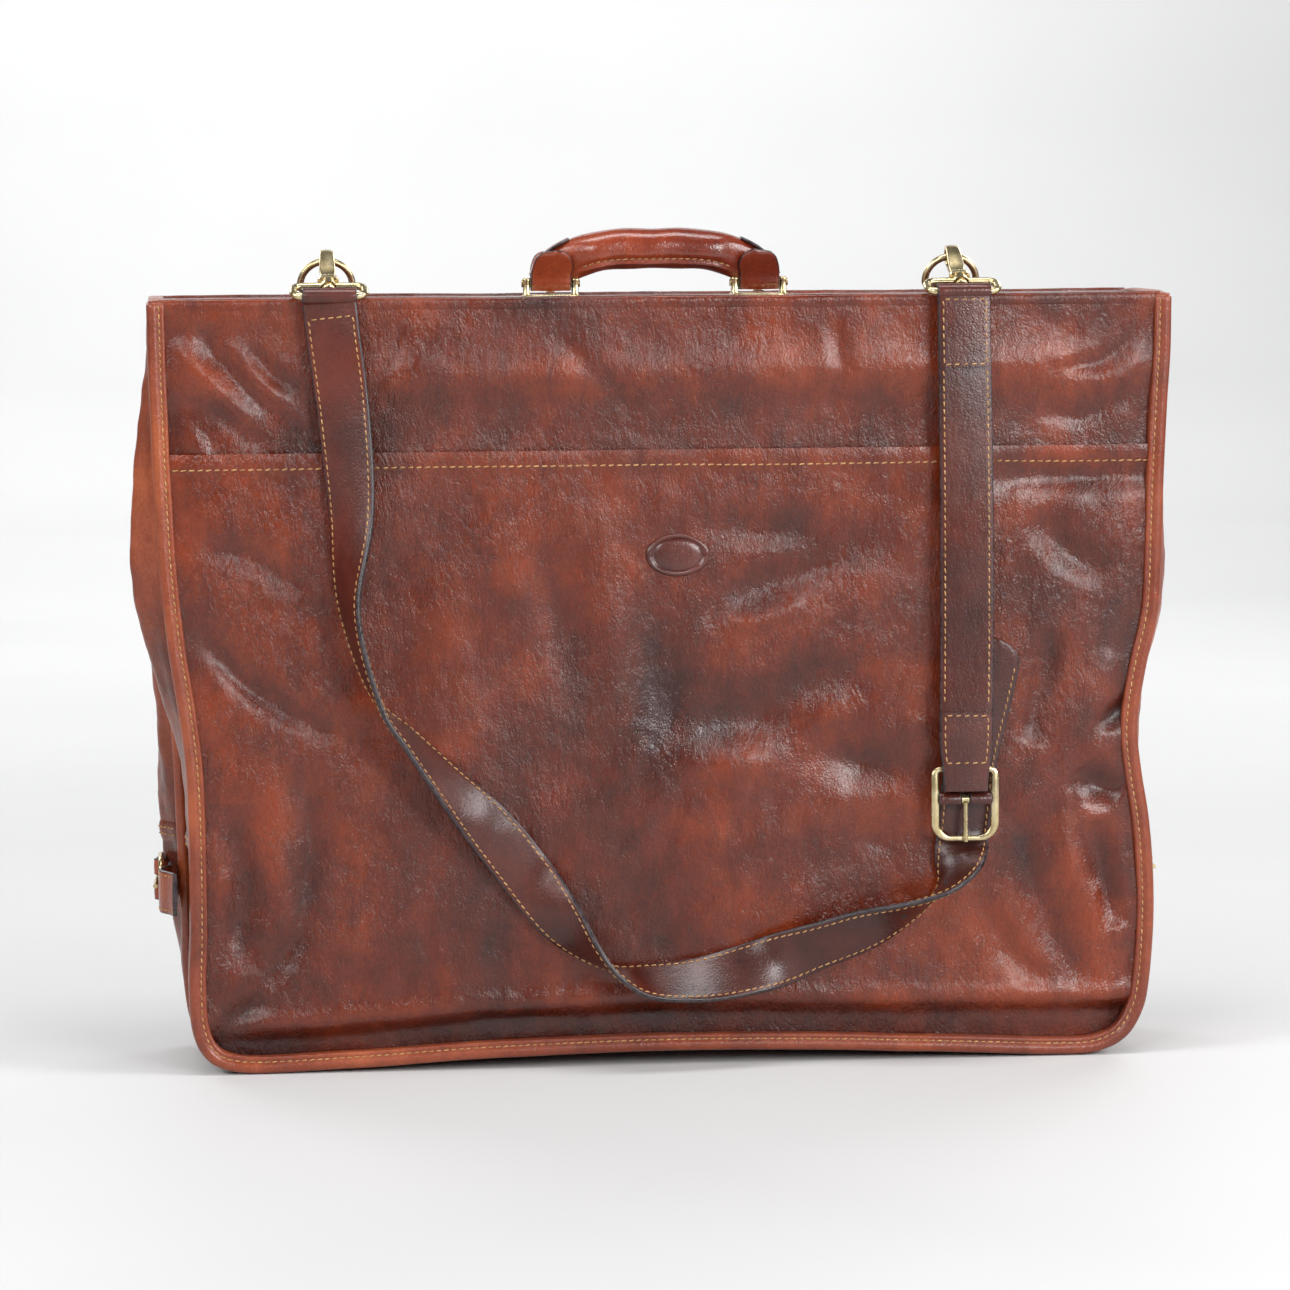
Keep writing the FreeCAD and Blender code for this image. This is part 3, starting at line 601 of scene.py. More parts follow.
def leather(name, dark, mid, light, rough=0.36, grain=1.0, wrinkle=1.0, coat=0.12, shift=0.0, stretch=0.34):
    """Waxed vegetable-tanned leather: cloudy dye, pores, fine upright wrinkles darkened along their lines
    (painted shade in the creases), rubbed marks, and painted shade in the hollows of the folds with lighter
    worn ridges.
    """
    n = Nodes(name)
    base = n.scaled((1, 1, 1), (shift, shift * 0.7, shift * 1.3))
    upright = n.scaled((1, 1, stretch), (shift, 0, 0))
    clouds = n.noise(base, 6.5, 4, 0.55, 0.5)
    blotch = n.noise(base, 24, 5, 0.6, 0.3)
    streak = n.noise(upright, 70, 5, 0.65, 0.5)
    speck = n.noise(base, 520, 4, 0.7)
    tone = n.math("MULTIPLY", clouds, 0.42)
    tone = n.math("MULTIPLY_ADD", blotch, 0.25, tone)
    tone = n.math("MULTIPLY_ADD", streak, 0.17, tone)
    tone = n.math("MULTIPLY_ADD", speck, 0.16, tone)
    # The height attribute from the sheet pieces darkens the colour in the hollows of the folds (painted shade)
    # and lightens it on the ridges (rubbed wear).
    hollow_shade_ridge_wear = n.node("ShaderNodeAttribute", attribute_name="hollow_shade_ridge_wear").outputs["Fac"]
    tone = n.math("MULTIPLY_ADD", hollow_shade_ridge_wear, 0.06, tone)
    colour = n.ramp(tone, ((0.38, srgb(*dark)), (0.49, srgb(*mid)), (0.60, srgb(*light))))
    where = n.span(n.noise(base, 9, 3, 0.6), 0.40, 0.62, 0.3, 1.0)
    # Fine upright wrinkles: they bend the normals, and the colour is pulled towards the dark dye along their
    # lines, which is painted shade in the creases.
    folds = n.noise(upright, 150, 3, 0.55, 1.0)
    lines = n.math("ABSOLUTE", n.math("SUBTRACT", folds, 0.5))
    lines = n.span(lines, 0.0, 0.06)
    lines = n.math("SUBTRACT", 1.0, n.math("MULTIPLY", n.math("SUBTRACT", 1.0, lines), where))
    colour = n.mix(n.span(lines, 0.0, 1.0, 0.22 * wrinkle, 0.0), colour, srgb(*dark))
    scratch = n.noise(n.scaled((1, 1, 6.0), (3.1 + shift, 0, 0)), 30, 6, 0.72, 1.8)
    scratch = n.span(scratch, 0.715, 0.75)
    colour = n.mix(n.math("MULTIPLY", scratch, 0.3), colour, srgb(*light))
    pores = n.cells(base, 620)
    pebble = n.noise(base, 520, 3, 0.62)
    height = n.math("MULTIPLY_ADD", n.span(pores, 0.0, 0.6), 0.4, n.math("MULTIPLY", pebble, 0.6))
    fine = n.bump(height, 0.00021 * grain, 0.9)
    soft = n.bump(lines, 0.00013 * wrinkle, 0.9, fine)
    crumple = n.math("MULTIPLY", n.noise(upright, 260, 4, 0.66, 0.9), where)
    ripple = n.bump(crumple, 0.00095 * wrinkle, 0.9, soft)
    slow = n.bump(n.noise(base, 40, 2, 0.5, 0.5), 0.0018 * wrinkle, 0.7, ripple)
    gloss = n.span(n.noise(base, 15, 4, 0.6), 0.3, 0.72, rough - 0.05, rough + 0.08)
    gloss = n.math("MULTIPLY_ADD", scratch, 0.12, gloss)
    n.set(Base_Color=colour, Roughness=gloss, Normal=slow, Coat_Weight=coat, Coat_Roughness=0.2,
          Specular_IOR_Level=0.5)
    return n.material


def brass(name, tone=1.0, rough=0.27):
    """Satin brass, a little darker in patches, with fine scratches."""
    n = Nodes(name)
    wear = n.noise(n.place, 120, 4, 0.6, 0.4)
    colour = n.ramp(wear,
                    ((0.3, srgb(178 * tone, 160 * tone, 118 * tone)),
                     (0.5, srgb(204 * tone, 186 * tone, 144 * tone)),
                           (0.7, srgb(222 * tone, 208 * tone, 172 * tone))))
    lines = n.noise(n.scaled((1, 1, 7)), 700, 3, 0.6, 0.5)
    gloss = n.span(n.noise(n.place, 90, 3, 0.6), 0.3, 0.75, rough - 0.04, rough + 0.08)
    n.set(Base_Color=colour, Metallic=1.0, Roughness=gloss, Normal=n.bump(lines, 0.000004, 0.5))
    return n.material


def thread(name, dark, light):
    """Waxed sewing thread with its twist."""
    n = Nodes(name)
    tone = n.noise(n.place, 300, 3, 0.6)
    twist = n.noise(n.scaled((1, 1, 1)), 2600, 2, 0.5)
    n.set(Base_Color=n.ramp(tone, ((0.35, srgb(*dark)), (0.65, srgb(*light)))), Roughness=0.62,
          Normal=n.bump(twist, 0.00022, 0.8))
    return n.material


def cloth(name, dark, light, pitch=900, rough=0.85):
    """Plain woven lining."""
    n = Nodes(name)
    weave = None
    for scale in ((1, 0, 0), (0, 0, 1)):
        wave = n.node("ShaderNodeTexWave", wave_type="BANDS", bands_direction="X" if scale[0] else "Z")
        wave.inputs["Scale"].default_value = pitch
        wave.inputs["Distortion"].default_value = 0.6
        wave.inputs["Detail"].default_value = 1
        n.link(n.place, wave.inputs["Vector"])
        weave = wave.outputs["Fac"] if weave is None else n.math("MULTIPLY", weave, wave.outputs["Fac"])
    tone = n.math("MULTIPLY_ADD", weave, 0.3, n.math("MULTIPLY", n.noise(n.place, 22, 4, 0.6), 0.7))
    n.set(Base_Color=n.ramp(tone, ((0.25, srgb(*dark)), (0.7, srgb(*light)))), Roughness=rough,
          Sheen_Weight=0.15, Normal=n.bump(weave, 0.00025, 0.7))
    return n.material


def paint(name, dark, light, rough=0.42):
    """Burnished edge paint."""
    n = Nodes(name)
    tone = n.noise(n.place, 240, 4, 0.65)
    n.set(Base_Color=n.ramp(tone, ((0.35, srgb(*dark)), (0.7, srgb(*light)))),
          Roughness=n.span(tone, 0.3, 0.7, rough - 0.08, rough + 0.12), Normal=n.bump(tone, 0.0003, 0.6))
    return n.material


def pale(name, low, high, rough=0.6):
    """Matt studio ground."""
    n = Nodes(name)
    tone = n.noise(n.place, 1.6, 3, 0.5)
    n.set(Base_Color=n.ramp(tone, ((0.3, low), (0.7, high))), Roughness=rough)
    return n.material


BODY_DYE = ((48, 15, 8), (88, 29, 10), (126, 48, 14))
BODY_LOOK = dict(rough=0.27, stretch=0.42, coat=0.1)
BODY = leather("body_leather", *BODY_DYE, **BODY_LOOK)
BODY_REAR = leather("body_leather_rear", *BODY_DYE, **BODY_LOOK, shift=3.3)
GUSSET = leather("gusset_leather", (82, 32, 17), (132, 60, 33), (170, 90, 54), rough=0.34, wrinkle=0.8,
                 shift=1.7)
BINDING = leather("binding_leather", (84, 31, 17), (126, 54, 28), (160, 80, 43), rough=0.32, wrinkle=0.4,
                  shift=5.1)
STRAP = leather("strap_leather", (46, 16, 11), (70, 25, 16), (96, 37, 21), rough=0.3, wrinkle=0.3,
                grain=0.8, shift=7.7)
HANDLE = leather("handle_leather", (76, 25, 13), (118, 44, 23), (150, 66, 35), rough=0.24, wrinkle=0.25,
                 coat=0.45, shift=9.2)
BADGE = leather("badge_leather", (56, 18, 11), (80, 28, 17), (100, 38, 23), rough=0.28, wrinkle=0.1,
                coat=0.4, shift=4.4)
EDGE_PAINT = paint("edge_paint", (30, 22, 26), (66, 52, 54), 0.3)
THREAD = thread("thread", (146, 102, 58), (190, 148, 96))
BRASS = brass("brass")
BRASS_DARK = brass("brass_dark", 0.82, 0.34)
LINING = cloth("lining", (48, 30, 22), (78, 52, 38))
TAPE = cloth("zip_tape", (38, 24, 18), (60, 40, 30), 1400)
BOARD = paint("board", (96, 80, 62), (128, 110, 88), 0.8)


# ---------------------------------------------------------------- height of the leather over each face
BOARD_FRONT = GAP_Y - box_mm("front_board")[0][1] + 0.1
BOARD_REAR = box_mm("rear_board")[1][1] - GAP_Y + 0.1


POCKET_LEVEL = 54.0             # the pocket's leather where it lies flat
FOLD_SCALE = 1.25               # how much deeper its folds are than their tables say
POCKET_FOLDS = (
    # soft lumps in the middle
    (1.4, (-32, 250, 15, 40, 12)), (-4.4, (-60, 252, 20, 44, 10)),
    (-3.4, (-4, 232, 18, 46, 8)), (-3.0, (-98, 236, 22, 50, 10)),
    (1.5, 6, ((38, 255), (58, 261), (80, 272))), (-4.0, (70, 283, 36, 11, 20)),
    (-3.8, (46, 201, 32, 15, 4)), (1.3, (42, 176, 24, 11)),
    (-2.8, (86, 223, 34, 13, 10)), (-3.2, (112, 176, 36, 14, -14)),
    (-2.8, (66, 310, 40, 11, -6)), (-2.2, (-130, 300, 26, 40, -12)),
    (-1.8, (120, 130, 44, 16, 20)), (-1.9, (-150, 250, 32, 60)),
    # pinch at the right edge and the folds that run into it
    (-3.4, (246, 340, 50, 9)), (-3.6, 9, ((212, 318), (236, 298), (262, 280))),
    (1.5, 8, ((262, 236), (250, 210), (238, 184))),
    (-3.8, 9, ((226, 250), (218, 214), (214, 184))),
    (1.4, 6, ((244, 178), (260, 184), (276, 192))),
    (-5.0, 8, ((240, 172), (250, 160), (264, 150))),
    (-2.6, 6, ((276, 214), (266, 200), (256, 192))),
    # lower right folds
    (1.5, 7, ((232, 160), (236, 130), (244, 98), (258, 60))),
    (-4.6, 7, ((250, 140), (256, 112), (266, 76))),
    (-3.2, 10, ((206, 150), (212, 112), (226, 74), (246, 36))),
    (-2.4, 9, ((180, 96), (198, 62), (226, 40))),
    # lower left folds
    (1.6, 7, ((-246, 182), (-230, 158), (-227, 129), (-226, 100), (-232, 66))),
    (-5.4, 9, ((-252, 158), (-246, 128), (-244, 96), (-248, 60))),
    (-3.2, 8, ((-208, 178), (-204, 130), (-212, 84), (-232, 50))),
    (-4.6, 6, ((-236, 48), (-250, 34), (-262, 22))),
    (-3.4, 7, ((-268, 262), (-246, 232), (-218, 208), (-192, 194))),
    (-2.2, 7, ((-268, 306), (-236, 296), (-206, 278))),
)


def pocket_height(x, z):
    """Distance of the slip pocket's leather from the gap plane."""
    h = POCKET_LEVEL + 0.7 * rolling(x, z, 84, 11, 3) + 0.26 * rolling(x, z * 0.6, 14, 5, 3)
    h = folded(h, x, z, POCKET_FOLDS)
    h = POCKET_LEVEL + FOLD_SCALE * (h - POCKET_LEVEL)
    # tuck above the base binding
    brow = np.interp(x, (-260, -200, -110, 0, 120, 260), (26, 27, 34, 37, 34, 32))
    h = h - 6.2 * step(z, brow + 3, brow - 9)
    h = h + 1.3 * np.exp(-((z - brow - 5) / 5) ** 2)
    h = h + 0.5 * step(z, POCKET_TOP - 14, POCKET_TOP - 6)
    return np.clip(h, BOARD_FRONT + 2.2, 55.7)


def roll_profile(z):
    """Depth of the padded roll under the top edge, by height."""
    stations = np.array([(340, 51.2), (358, 51.0), (370, 51.0), (380, 51.4), (388, 52.2), (395, 53.9),
                         (401, 55.2),
                         (407, 55.5), (413, 54.9), (420, 54.2), (430, 54.0), (444, 54.3)])
    fine = spline_at(stations, 260)
    return np.interp(z, fine[:, 0], fine[:, 1])


PANEL_FOLDS = (
    # slanting folds by the left binding
    (-3.4, 5, ((-266, 436), (-256, 412), (-240, 396), (-222, 380))),
    (3.2, 5.5, ((-281, 424), (-268, 406), (-250, 388), (-236, 366))),
    (2.8, 3.6, ((-252, 424), (-240, 410), (-224, 394), (-206, 378))),
    (-3.0, 4, ((-240, 418), (-224, 404), (-206, 394))),
    (1.6, 4.5, ((-278, 378), (-270, 366), (-262, 354))),
    (-2.2, 5, ((-262, 386), (-246, 374), (-232, 360))),
    # upright creases
    (-1.5, 4, ((-150, 440), (-158, 410), (-168, 386))),
    (-1.5, 6, ((-66, 430), (-44, 408), (-26, 392), (-16, 372))),
    (-1.3, 6, ((96, 436), (104, 404), (98, 376))),
    (-1.9, 5, ((278, 424), (252, 406), (222, 400))),
    (1.4, 5, ((280, 408), (254, 394), (226, 388))),
    (-1.6, 5, ((276, 388), (244, 376), (214, 380))),
)


def panel_height(x, z):
    """Distance of the front panel's leather from the gap plane."""
    shift = 3.5 * lattice(x, x * 0, 120, 19)
    full = 0.55 + 0.45 * step(x, -190, -140) * step(x, 262, 214)
    h = 52.0 + (roll_profile(z + shift) - 52.0) * full
    h = h + 0.5 * rolling(x, z, 60, 21, 3) + 0.16 * rolling(x, z, 14, 25, 3)
    h = folded(h, x, z, PANEL_FOLDS)
    h = np.minimum(h, 56.4)
    rim = step(z, 424, 438)
    h = h * (1 - rim) + 54.25 * rim
    hidden = np.maximum(pocket_height(x, z) - 2.4, BOARD_FRONT + 0.4)
    above = hidden + 20 * step(z, POCKET_TOP, POCKET_TOP + 6)
    return np.minimum(h, np.where(z < POCKET_TOP, hidden, above))


REAR_FOLDS = (
    (-3.0, 8, ((-262, 150), (-250, 104), (-256, 52))),
    (-3.0, 8, ((260, 170), (248, 112), (256, 56))),
    (-2.2, 7, ((-266, 300), (-236, 268), (-196, 256))),
    (-2.0, 7, ((268, 330), (238, 300), (206, 290))),
    (-1.6, 9, ((-120, 420), (-96, 372), (-104, 330))),
    (-1.4, 9, ((90, 416), (112, 372), (104, 320))),
)


def rear_height(x, z):
    """Distance of the rear panel's leather from the gap plane."""
    h = 53.6 + 0.8 * rolling(x, z, 120, 31, 3) + 0.2 * rolling(x, z, 18, 35, 3)
    h = h + 1.2 * np.exp(-((z - 418) / 24) ** 2) - 1.4 * step(z, 426, 440)
    h = folded(h, x, z, REAR_FOLDS)
    h = h - 3.2 * step(z, 58, 28) * step(z, 12, 24)
    return np.clip(h, BOARD_REAR + 0.9, 55.6)


def tucked(height, edge_gap, depth, reach=9.0):
    """Height that falls away next to its binding."""
    return height - depth * np.exp(-(edge_gap / reach) ** 2)


def edge_gap(edge, x, z):
    """Distance from each point to the outline."""
    flat = np.stack([x.ravel(), z.ravel()], axis=1)
    line = edge.points[::2]
    best = np.full(len(flat), 1e9)
    for start in range(0, len(line), 60):
        some = line[None, start:start + 60]
        d = np.hypot(flat[:, None, 0] - some[..., 0], flat[:, None, 1] - some[..., 1])
        best = np.minimum(best, d.min(axis=1))
    return best.reshape(x.shape)


def sheet_piece(name, edge, distance, top, cell, height, thick, sign, material, body, replaces,
                tuck=1.4, hem=False, floor=0.0):
    """Leather sheet over one face of a half; sign -1 faces the front and +1 the rear."""
    columns = int(560 / cell)
    rows = int(top / cell)
    g = patch(edge, distance, top, columns, rows)
    x = g[..., 0]
    z = g[..., 1]
    h = height(x, z)
    gap = edge_gap(edge, x, z) - BIND_W
    h = tucked(h, np.maximum(gap, 0), tuck)
    depth = np.full(h.shape, float(thick))
    front = h.copy()
    if hem:
        turn = np.exp(-((z - top) / 1.0) ** 2)
        front = h - 0.35 * turn
        depth = depth - 0.9 * turn - 0.5
    outer = np.stack([x, sign * front, z], axis=2)
    depth = np.clip(front - floor, 0.3, depth)
    inner = np.stack([x, sign * (front - depth), z], axis=2)
    piece = build(name, slab(outer, inner), [material], body, replaces=replaces)
    # Height off the flat level, kept on the points for the leather's colour: painted shade in the hollows and
    # lighter worn ridges.
    hollow_shade_ridge_wear = np.clip((h - 53.6) / 4.0, -1.3, 0.7).ravel()
    shade_and_wear_attribute = piece.data.attributes.new("hollow_shade_ridge_wear", "FLOAT", "POINT")
    shade_and_wear_attribute.data.foreach_set("value", np.concatenate([hollow_shade_ridge_wear, hollow_shade_ridge_wear]).astype(np.float32))
    return piece


CELL = 2.1

sheet_piece("front_pocket_leather", front_edge, 6.0, POCKET_TOP, CELL, pocket_height, 2.0, -1, BODY,
            "front_half",
            ("front_pocket",), hem=True)
sheet_piece("front_panel_leather", front_edge, 6.0, TOP, CELL * 1.2, panel_height, 2.6, -1, BODY,
            "front_half",
            ("front_panel",), tuck=1.0, floor=BOARD_FRONT)
sheet_piece("rear_panel_leather", rear_edge, 6.0, TOP, CELL * 1.2, rear_height, 2.6, 1, BODY_REAR,
            "rear_half",
            ("rear_panel",), floor=BOARD_REAR)


def flat_height(level, swell, seed):
    return lambda x, z: level + swell * rolling(x, z, 60, seed, 3)


sheet_piece("front_lining_cloth", front_edge, 9.0, TOP - 4, 8.0, flat_height(42.6, 0.25, 41), 0.8, -1,
            LINING, "front_half",
            ("front_lining",), tuck=0)
sheet_piece("rear_lining_cloth", rear_edge, 9.0, TOP - 4, 8.0, flat_height(47.6, 0.25, 43), 0.8, 1, LINING,
            "rear_half",
            ("rear_lining",), tuck=0)


# ---------------------------------------------------------------- bindings and gussets
def binding_rings(edge, low, high, face_side):
    """Folded strip round the outline between two depths, its stitched face at the high one if face_side."""
    section = (
        (BIND_W, high - 1.5), (BIND_W - 0.4, high - 0.75), (BIND_W - 1.4, high - 0.45), (7.6, high - 0.75),
        (7.0, high - 1.0),
        (6.3, high - 0.65), (5.2, high + 0.1), (3.6, high + 0.45), (1.9, high + 0.1), (0.75, high - 0.9),
        (0.1, high - 2.4), (-0.1, (low + high) / 2), (0.1, low + 1.8), (0.9, low + 0.5), (2.2, low),
        (BIND_W - 0.8, low),
        (BIND_W, low + 0.6),
    )
    if not face_side:
        section = [(i, low + high - d) for i, d in section][::-1]
    n = len(edge.points)
    rings = np.zeros((n, len(section), 3))
    s = edge.length
    for k, (inset, depth) in enumerate(section):
        wave = 0.22 * lattice(s, s * 0 + k * 2.0, 9, 71) + 0.3 * lattice(s, s * 0, 60, 73)
        flat = edge.inset(np.full(n, inset) + 0.18 * lattice(s, s * 0, 30, 75))
        rings[:, k, 0] = flat[:, 0]
        rings[:, k, 2] = np.maximum(flat[:, 1], 0.15)
        rings[:, k, 1] = depth + wave * 0.35
    return rings


def round_ends(rings, drop=2.2):
    """Close a swept strip with a rounded end."""
    first = rings[0].mean(axis=0)
    last = rings[-1].mean(axis=0)
    caps_a = []
    caps_b = []
    for share, out in ((0.86, 0.45), (0.5, 0.9)):
        a = first + (rings[0] - first) * share
        a[:, 2] += drop * out
        b = last + (rings[-1] - last) * share
        b[:, 2] += drop * out
        caps_a.append(a)
        caps_b.append(b)
    return np.concatenate([np.array(caps_a[::-1]), rings, np.array(caps_b)])


def u_stitches(edge, inset, depth, sign, pitch=4.3, seed=1):
    flat = edge.inset(np.full(len(edge.points), inset))
    line = np.stack([flat[:, 0], np.full(len(flat), sign * depth), flat[:, 1]], axis=1)
    normals = same([0.0, float(sign), 0.0], len(line))
    return row_of_stitches(line, normals, pitch, seed=seed)


def gusset_bulge(edge, table):
    """Bulge of a gusset at each point of the outline, from (x sign, z, bulge) stations."""
    x = edge.points[:, 0]
    z = edge.points[:, 1]
    left = np.array([(a, b) for side, a, b in table if side < 0])
    right = np.array([(a, b) for side, a, b in table if side > 0])
    return np.where(x < 0, np.interp(z, left[:, 0], left[:, 1]), np.interp(z, right[:, 0], right[:, 1]))


FRONT_BULGE = ((-1, 0, 0.3), (-1, 130, 1.5), (-1, 180, 4), (-1, 236, 12), (-1, 270, 15), (-1, 294, 16),
               (-1, 329, 13),
               (-1, 387, 5), (-1, 443, 1),
               (1, 0, 0.3), (1, 130, 2), (1, 200, 7), (1, 290, 9), (1, 380, 5), (1, 443, 1))
REAR_BULGE = ((-1, 0, 0.3), (-1, 60, 3), (-1, 154, 11), (-1, 212, 10), (-1, 290, 9), (-1, 380, 5),
              (-1, 443, 1),
              (1, 0, 0.3), (1, 60, 3), (1, 150, 8), (1, 290, 9), (1, 380, 5), (1, 443, 1))


def gusset_grid(edge, table, low, high, seed, extra=0.0):
    """Outer surface of the gusset: one row of points round the outline for each depth."""
    n = len(edge.points)
    m = 19
    s = edge.length
    bulge = gusset_bulge(edge, table)
    z = edge.points[:, 1]
    upright = step(z, 30, 70)
    t = np.linspace(0, 1, m)
    grid = np.zeros((n, m, 3))
    for k, share in enumerate(t):
        depth = low + (high - low) * share
        arch = np.sin(np.pi * share) ** 0.75
        phase = share * 1.7 + 0.45 * lattice(s, s * 0, 110, seed)
        folds = 3.6 * np.sin(2 * np.pi * phase) * np.sin(np.pi * share)
        folds = folds * (0.35 + 0.65 * np.clip(lattice(s, s * 0 + 5, 70, seed + 1) + 0.4, 0, 1))
        folds = folds * upright * np.clip(bulge / 9, 0.12, 1)
        rough = 0.9 * rolling(s, s * 0 + share * 90, 30, seed + 2, 4) * np.sin(np.pi * share)
        inset = 2.2 - extra - bulge * arch - folds - rough * upright - 0.5 * rough * (1 - upright)
        flat = edge.inset(inset)
        grid[:, k, 0] = flat[:, 0]
        grid[:, k, 1] = depth
        grid[:, k, 2] = np.maximum(flat[:, 1], 0.4)
    return grid


def half_edges(prefix, edge, table, sign, body, seed):
    """Bindings, gussets, seams and stitching of one half."""
    outer = round_ends(binding_rings(edge, BACK, FACE, True))
    outer[..., 1] *= sign
    build(prefix + "_outer_binding", tube(outer), [BINDING], body,
          replaces=(prefix + "_binding",))
    inner = round_ends(binding_rings(edge, 3.0, 9.0, False))
    inner[..., 1] *= sign
    build(prefix + "_inner_edge", tube(inner), [BINDING], body,
          replaces=(prefix + "_inner_binding",))
    sew(prefix + "_binding_stitches", [u_stitches(edge, 7.0, FACE - 0.95, sign, seed=seed)], body)
    sew(prefix + "_inner_stitches", [u_stitches(edge, 7.0, -3.95, -sign, pitch=4.6, seed=seed + 1)], body)
    grid = gusset_grid(edge, table, 8.2, BACK + 0.6, seed)
    core = gusset_grid(edge, table, 8.2, BACK + 0.6, seed, extra=-2.2)
    core[..., 2] = np.maximum(core[..., 2], 2.4)
    grid[..., 1] *= sign
    core[..., 1] *= sign
    skin = slab(grid, core)
    heights = skin[0][np.asarray(skin[1])[:, 0], 2]
    build(prefix + "_gusset_leather", skin, [GUSSET, BODY], body, (heights < SEAM_Z).astype(int),
          replaces=tuple(prefix + "_gusset_" + w for w in ("left", "right", "base")))
    return grid


front_gusset = half_edges("front", front_edge, FRONT_BULGE, -1, "front_half", 101)
rear_gusset = half_edges("rear", rear_edge, REAR_BULGE, 1, "rear_half", 131)


def gusset_seam(name, edge, grid, body):
    """Lapped seam across both gusset sides, with two rows of stitches."""
    parts = []
    threads = []
    for side in (-1, 1):
        pool = np.where((edge.points[:, 0] * side > 0) & (edge.points[:, 1] > 60))[0]
        i = pool[np.argmin(np.abs(edge.points[pool, 1] - SEAM_Z))]
        away = 1 if edge.points[min(i + 3, len(edge.points) - 1), 1] > edge.points[i, 1] else -1
        rows = [grid[i + away * k] for k in range(-3, 4)]
        lift = np.array([0.0, 0.7, 1.0, 1.1, 1.0, 0.8, 0.0])
        outer = np.array([r + np.array([side * l, 0, 0]) for r, l in zip(rows, lift)])
        inner = np.array([r - np.array([side * 0.6, 0, 0]) for r in rows])
        parts.append(slab(outer, inner))
        for k in (2, 4):
            line = outer[k][1:-1] + np.array([side * 0.1, 0, 0])
            normals = same([float(side), 0, 0], len(line))
            threads.append(row_of_stitches(line, normals, 4.3, seed=7 + k))
    build(name + "_seam", joined(parts), [GUSSET], body)
    sew(name + "_seam_stitches", threads, body)


gusset_seam("front_gusset", front_edge, front_gusset, "front_half")
gusset_seam("rear_gusset", rear_edge, rear_gusset, "rear_half")


# ---------------------------------------------------------------- pocket hem
hem_x = np.linspace(-283, 283, 240)
hem_z = POCKET_TOP - 9.0 + 0.35 * lattice(hem_x, hem_x * 0, 60, 4)
hem_y = -(pocket_height(hem_x, hem_z) - 0.12)
hem_edge = np.interp(np.abs(hem_x), (0, 278, 283), (0, 0, 0.8))
line = np.stack([hem_x, hem_y + hem_edge, hem_z], axis=1)
sew("pocket_hem_stitches",
    [row_of_stitches(line, same([0.0, -1.0, 0.0], len(line)), 4.8, length=3.5, radius=0.46, seed=9)],
    "front_half")


# ---------------------------------------------------------------- inner panels and zips
def inner_face(prefix, edge, sign, body, seed):
    level = 5.2

    def height(x, z):
        pucker = 0.35 * np.sin(z / 3.4 + 2 * lattice(x, z, 40, seed)) * np.exp(-((np.abs(x) - 6) / 9) ** 2)
        h = level + 0.5 * rolling(x, z, 80, seed, 3) + pucker
        return h + 3.0 * step(6.0 - np.abs(x), 0, 1.0) * step(z, 18, 24) * step(z, 430, 424)

    columns = int(560 / (CELL * 2.2))
    rows = int(TOP / (CELL * 2.2))
    g = patch(edge, 6.5, TOP, columns, rows)
    x = g[..., 0]
    z = g[..., 1]
    h = height(x, z)
    outer = np.stack([x, sign * h, z], axis=2)
    inner = np.stack([x, sign * (h + 1.5), z], axis=2)
    build(prefix + "_inner_leather", slab(outer, inner), [BODY_REAR], body,
          replaces=(prefix + "_inner_panel",))
    low, high = box_mm(prefix + "_zipper")
    teeth = []
    count = int((high[2] - low[2] - 8) / 2.6)
    z0 = low[2] + 4 + np.arange(count) * 2.6
    base = np.array([[sx * 0.5, sy * 0.5, sz * 0.5] for sx in (-1, 1) for sy in (-1, 1) for sz in (-1, 1)])
    cube = [(0, 1, 3, 2), (4, 6, 7, 5), (0, 4, 5, 1), (2, 3, 7, 6), (0, 2, 6, 4), (1, 5, 7, 3)]
    size = np.array([2.6, 1.5, 1.0])
    for side in (-1, 1):
        for k, zz in enumerate(z0 + (0.65 if side > 0 else -0.65)):
            block = base * size
            block[:, 2] *= np.where(block[:, 0] * side < 0, 1.35, 0.8)
            centre = np.array([side * 0.9, sign * 5.3, zz])
            teeth.append((block + centre, cube))
    build(prefix + "_zip_teeth", joined(teeth), [BRASS_DARK], body, smooth=False)
    tapes = []
    for side in (-1, 1):
        zz = np.linspace(low[2], high[2], 120)
        centres = np.stack([np.full(120, side * 3.9), np.full(120, sign * 6.3), zz], axis=1)
        band = Band(centres, same([1.0, 0, 0], 120), 5.8, 0.9, 0.05)
        tapes.append(band.mesh()[:2])
    build(prefix + "_zip_tape", joined(tapes), [TAPE], body, replaces=(prefix + "_zipper",))
    rows_of = []
    for side in (-1, 1):
        zz = np.linspace(low[2] + 2, high[2] - 2, 90)
        line = np.stack([np.full(90, side * 10.0), np.full(90, sign * 5.0), zz], axis=1)
        rows_of.append(row_of_stitches(line, same([0.0, -float(sign), 0.0], 90), 4.6, seed=15))
    sew(prefix + "_zip_stitches", rows_of, body)


inner_face("front", front_edge, -1, "front_half", 51)
inner_face("rear", rear_edge, 1, "rear_half", 57)


# ---------------------------------------------------------------- spine and creases
def spine_level(x, y):
    """Height of the spine's leather, with y from the gap plane."""
    a = np.abs(y)
    z = SPINE_Z + 0.1 - 1.1 * np.exp(-((a - 44) / 9) ** 2) + 0.15 * rolling(x, y, 45, 61, 3)
    return z - 0.7 * step(a, 46, 53)


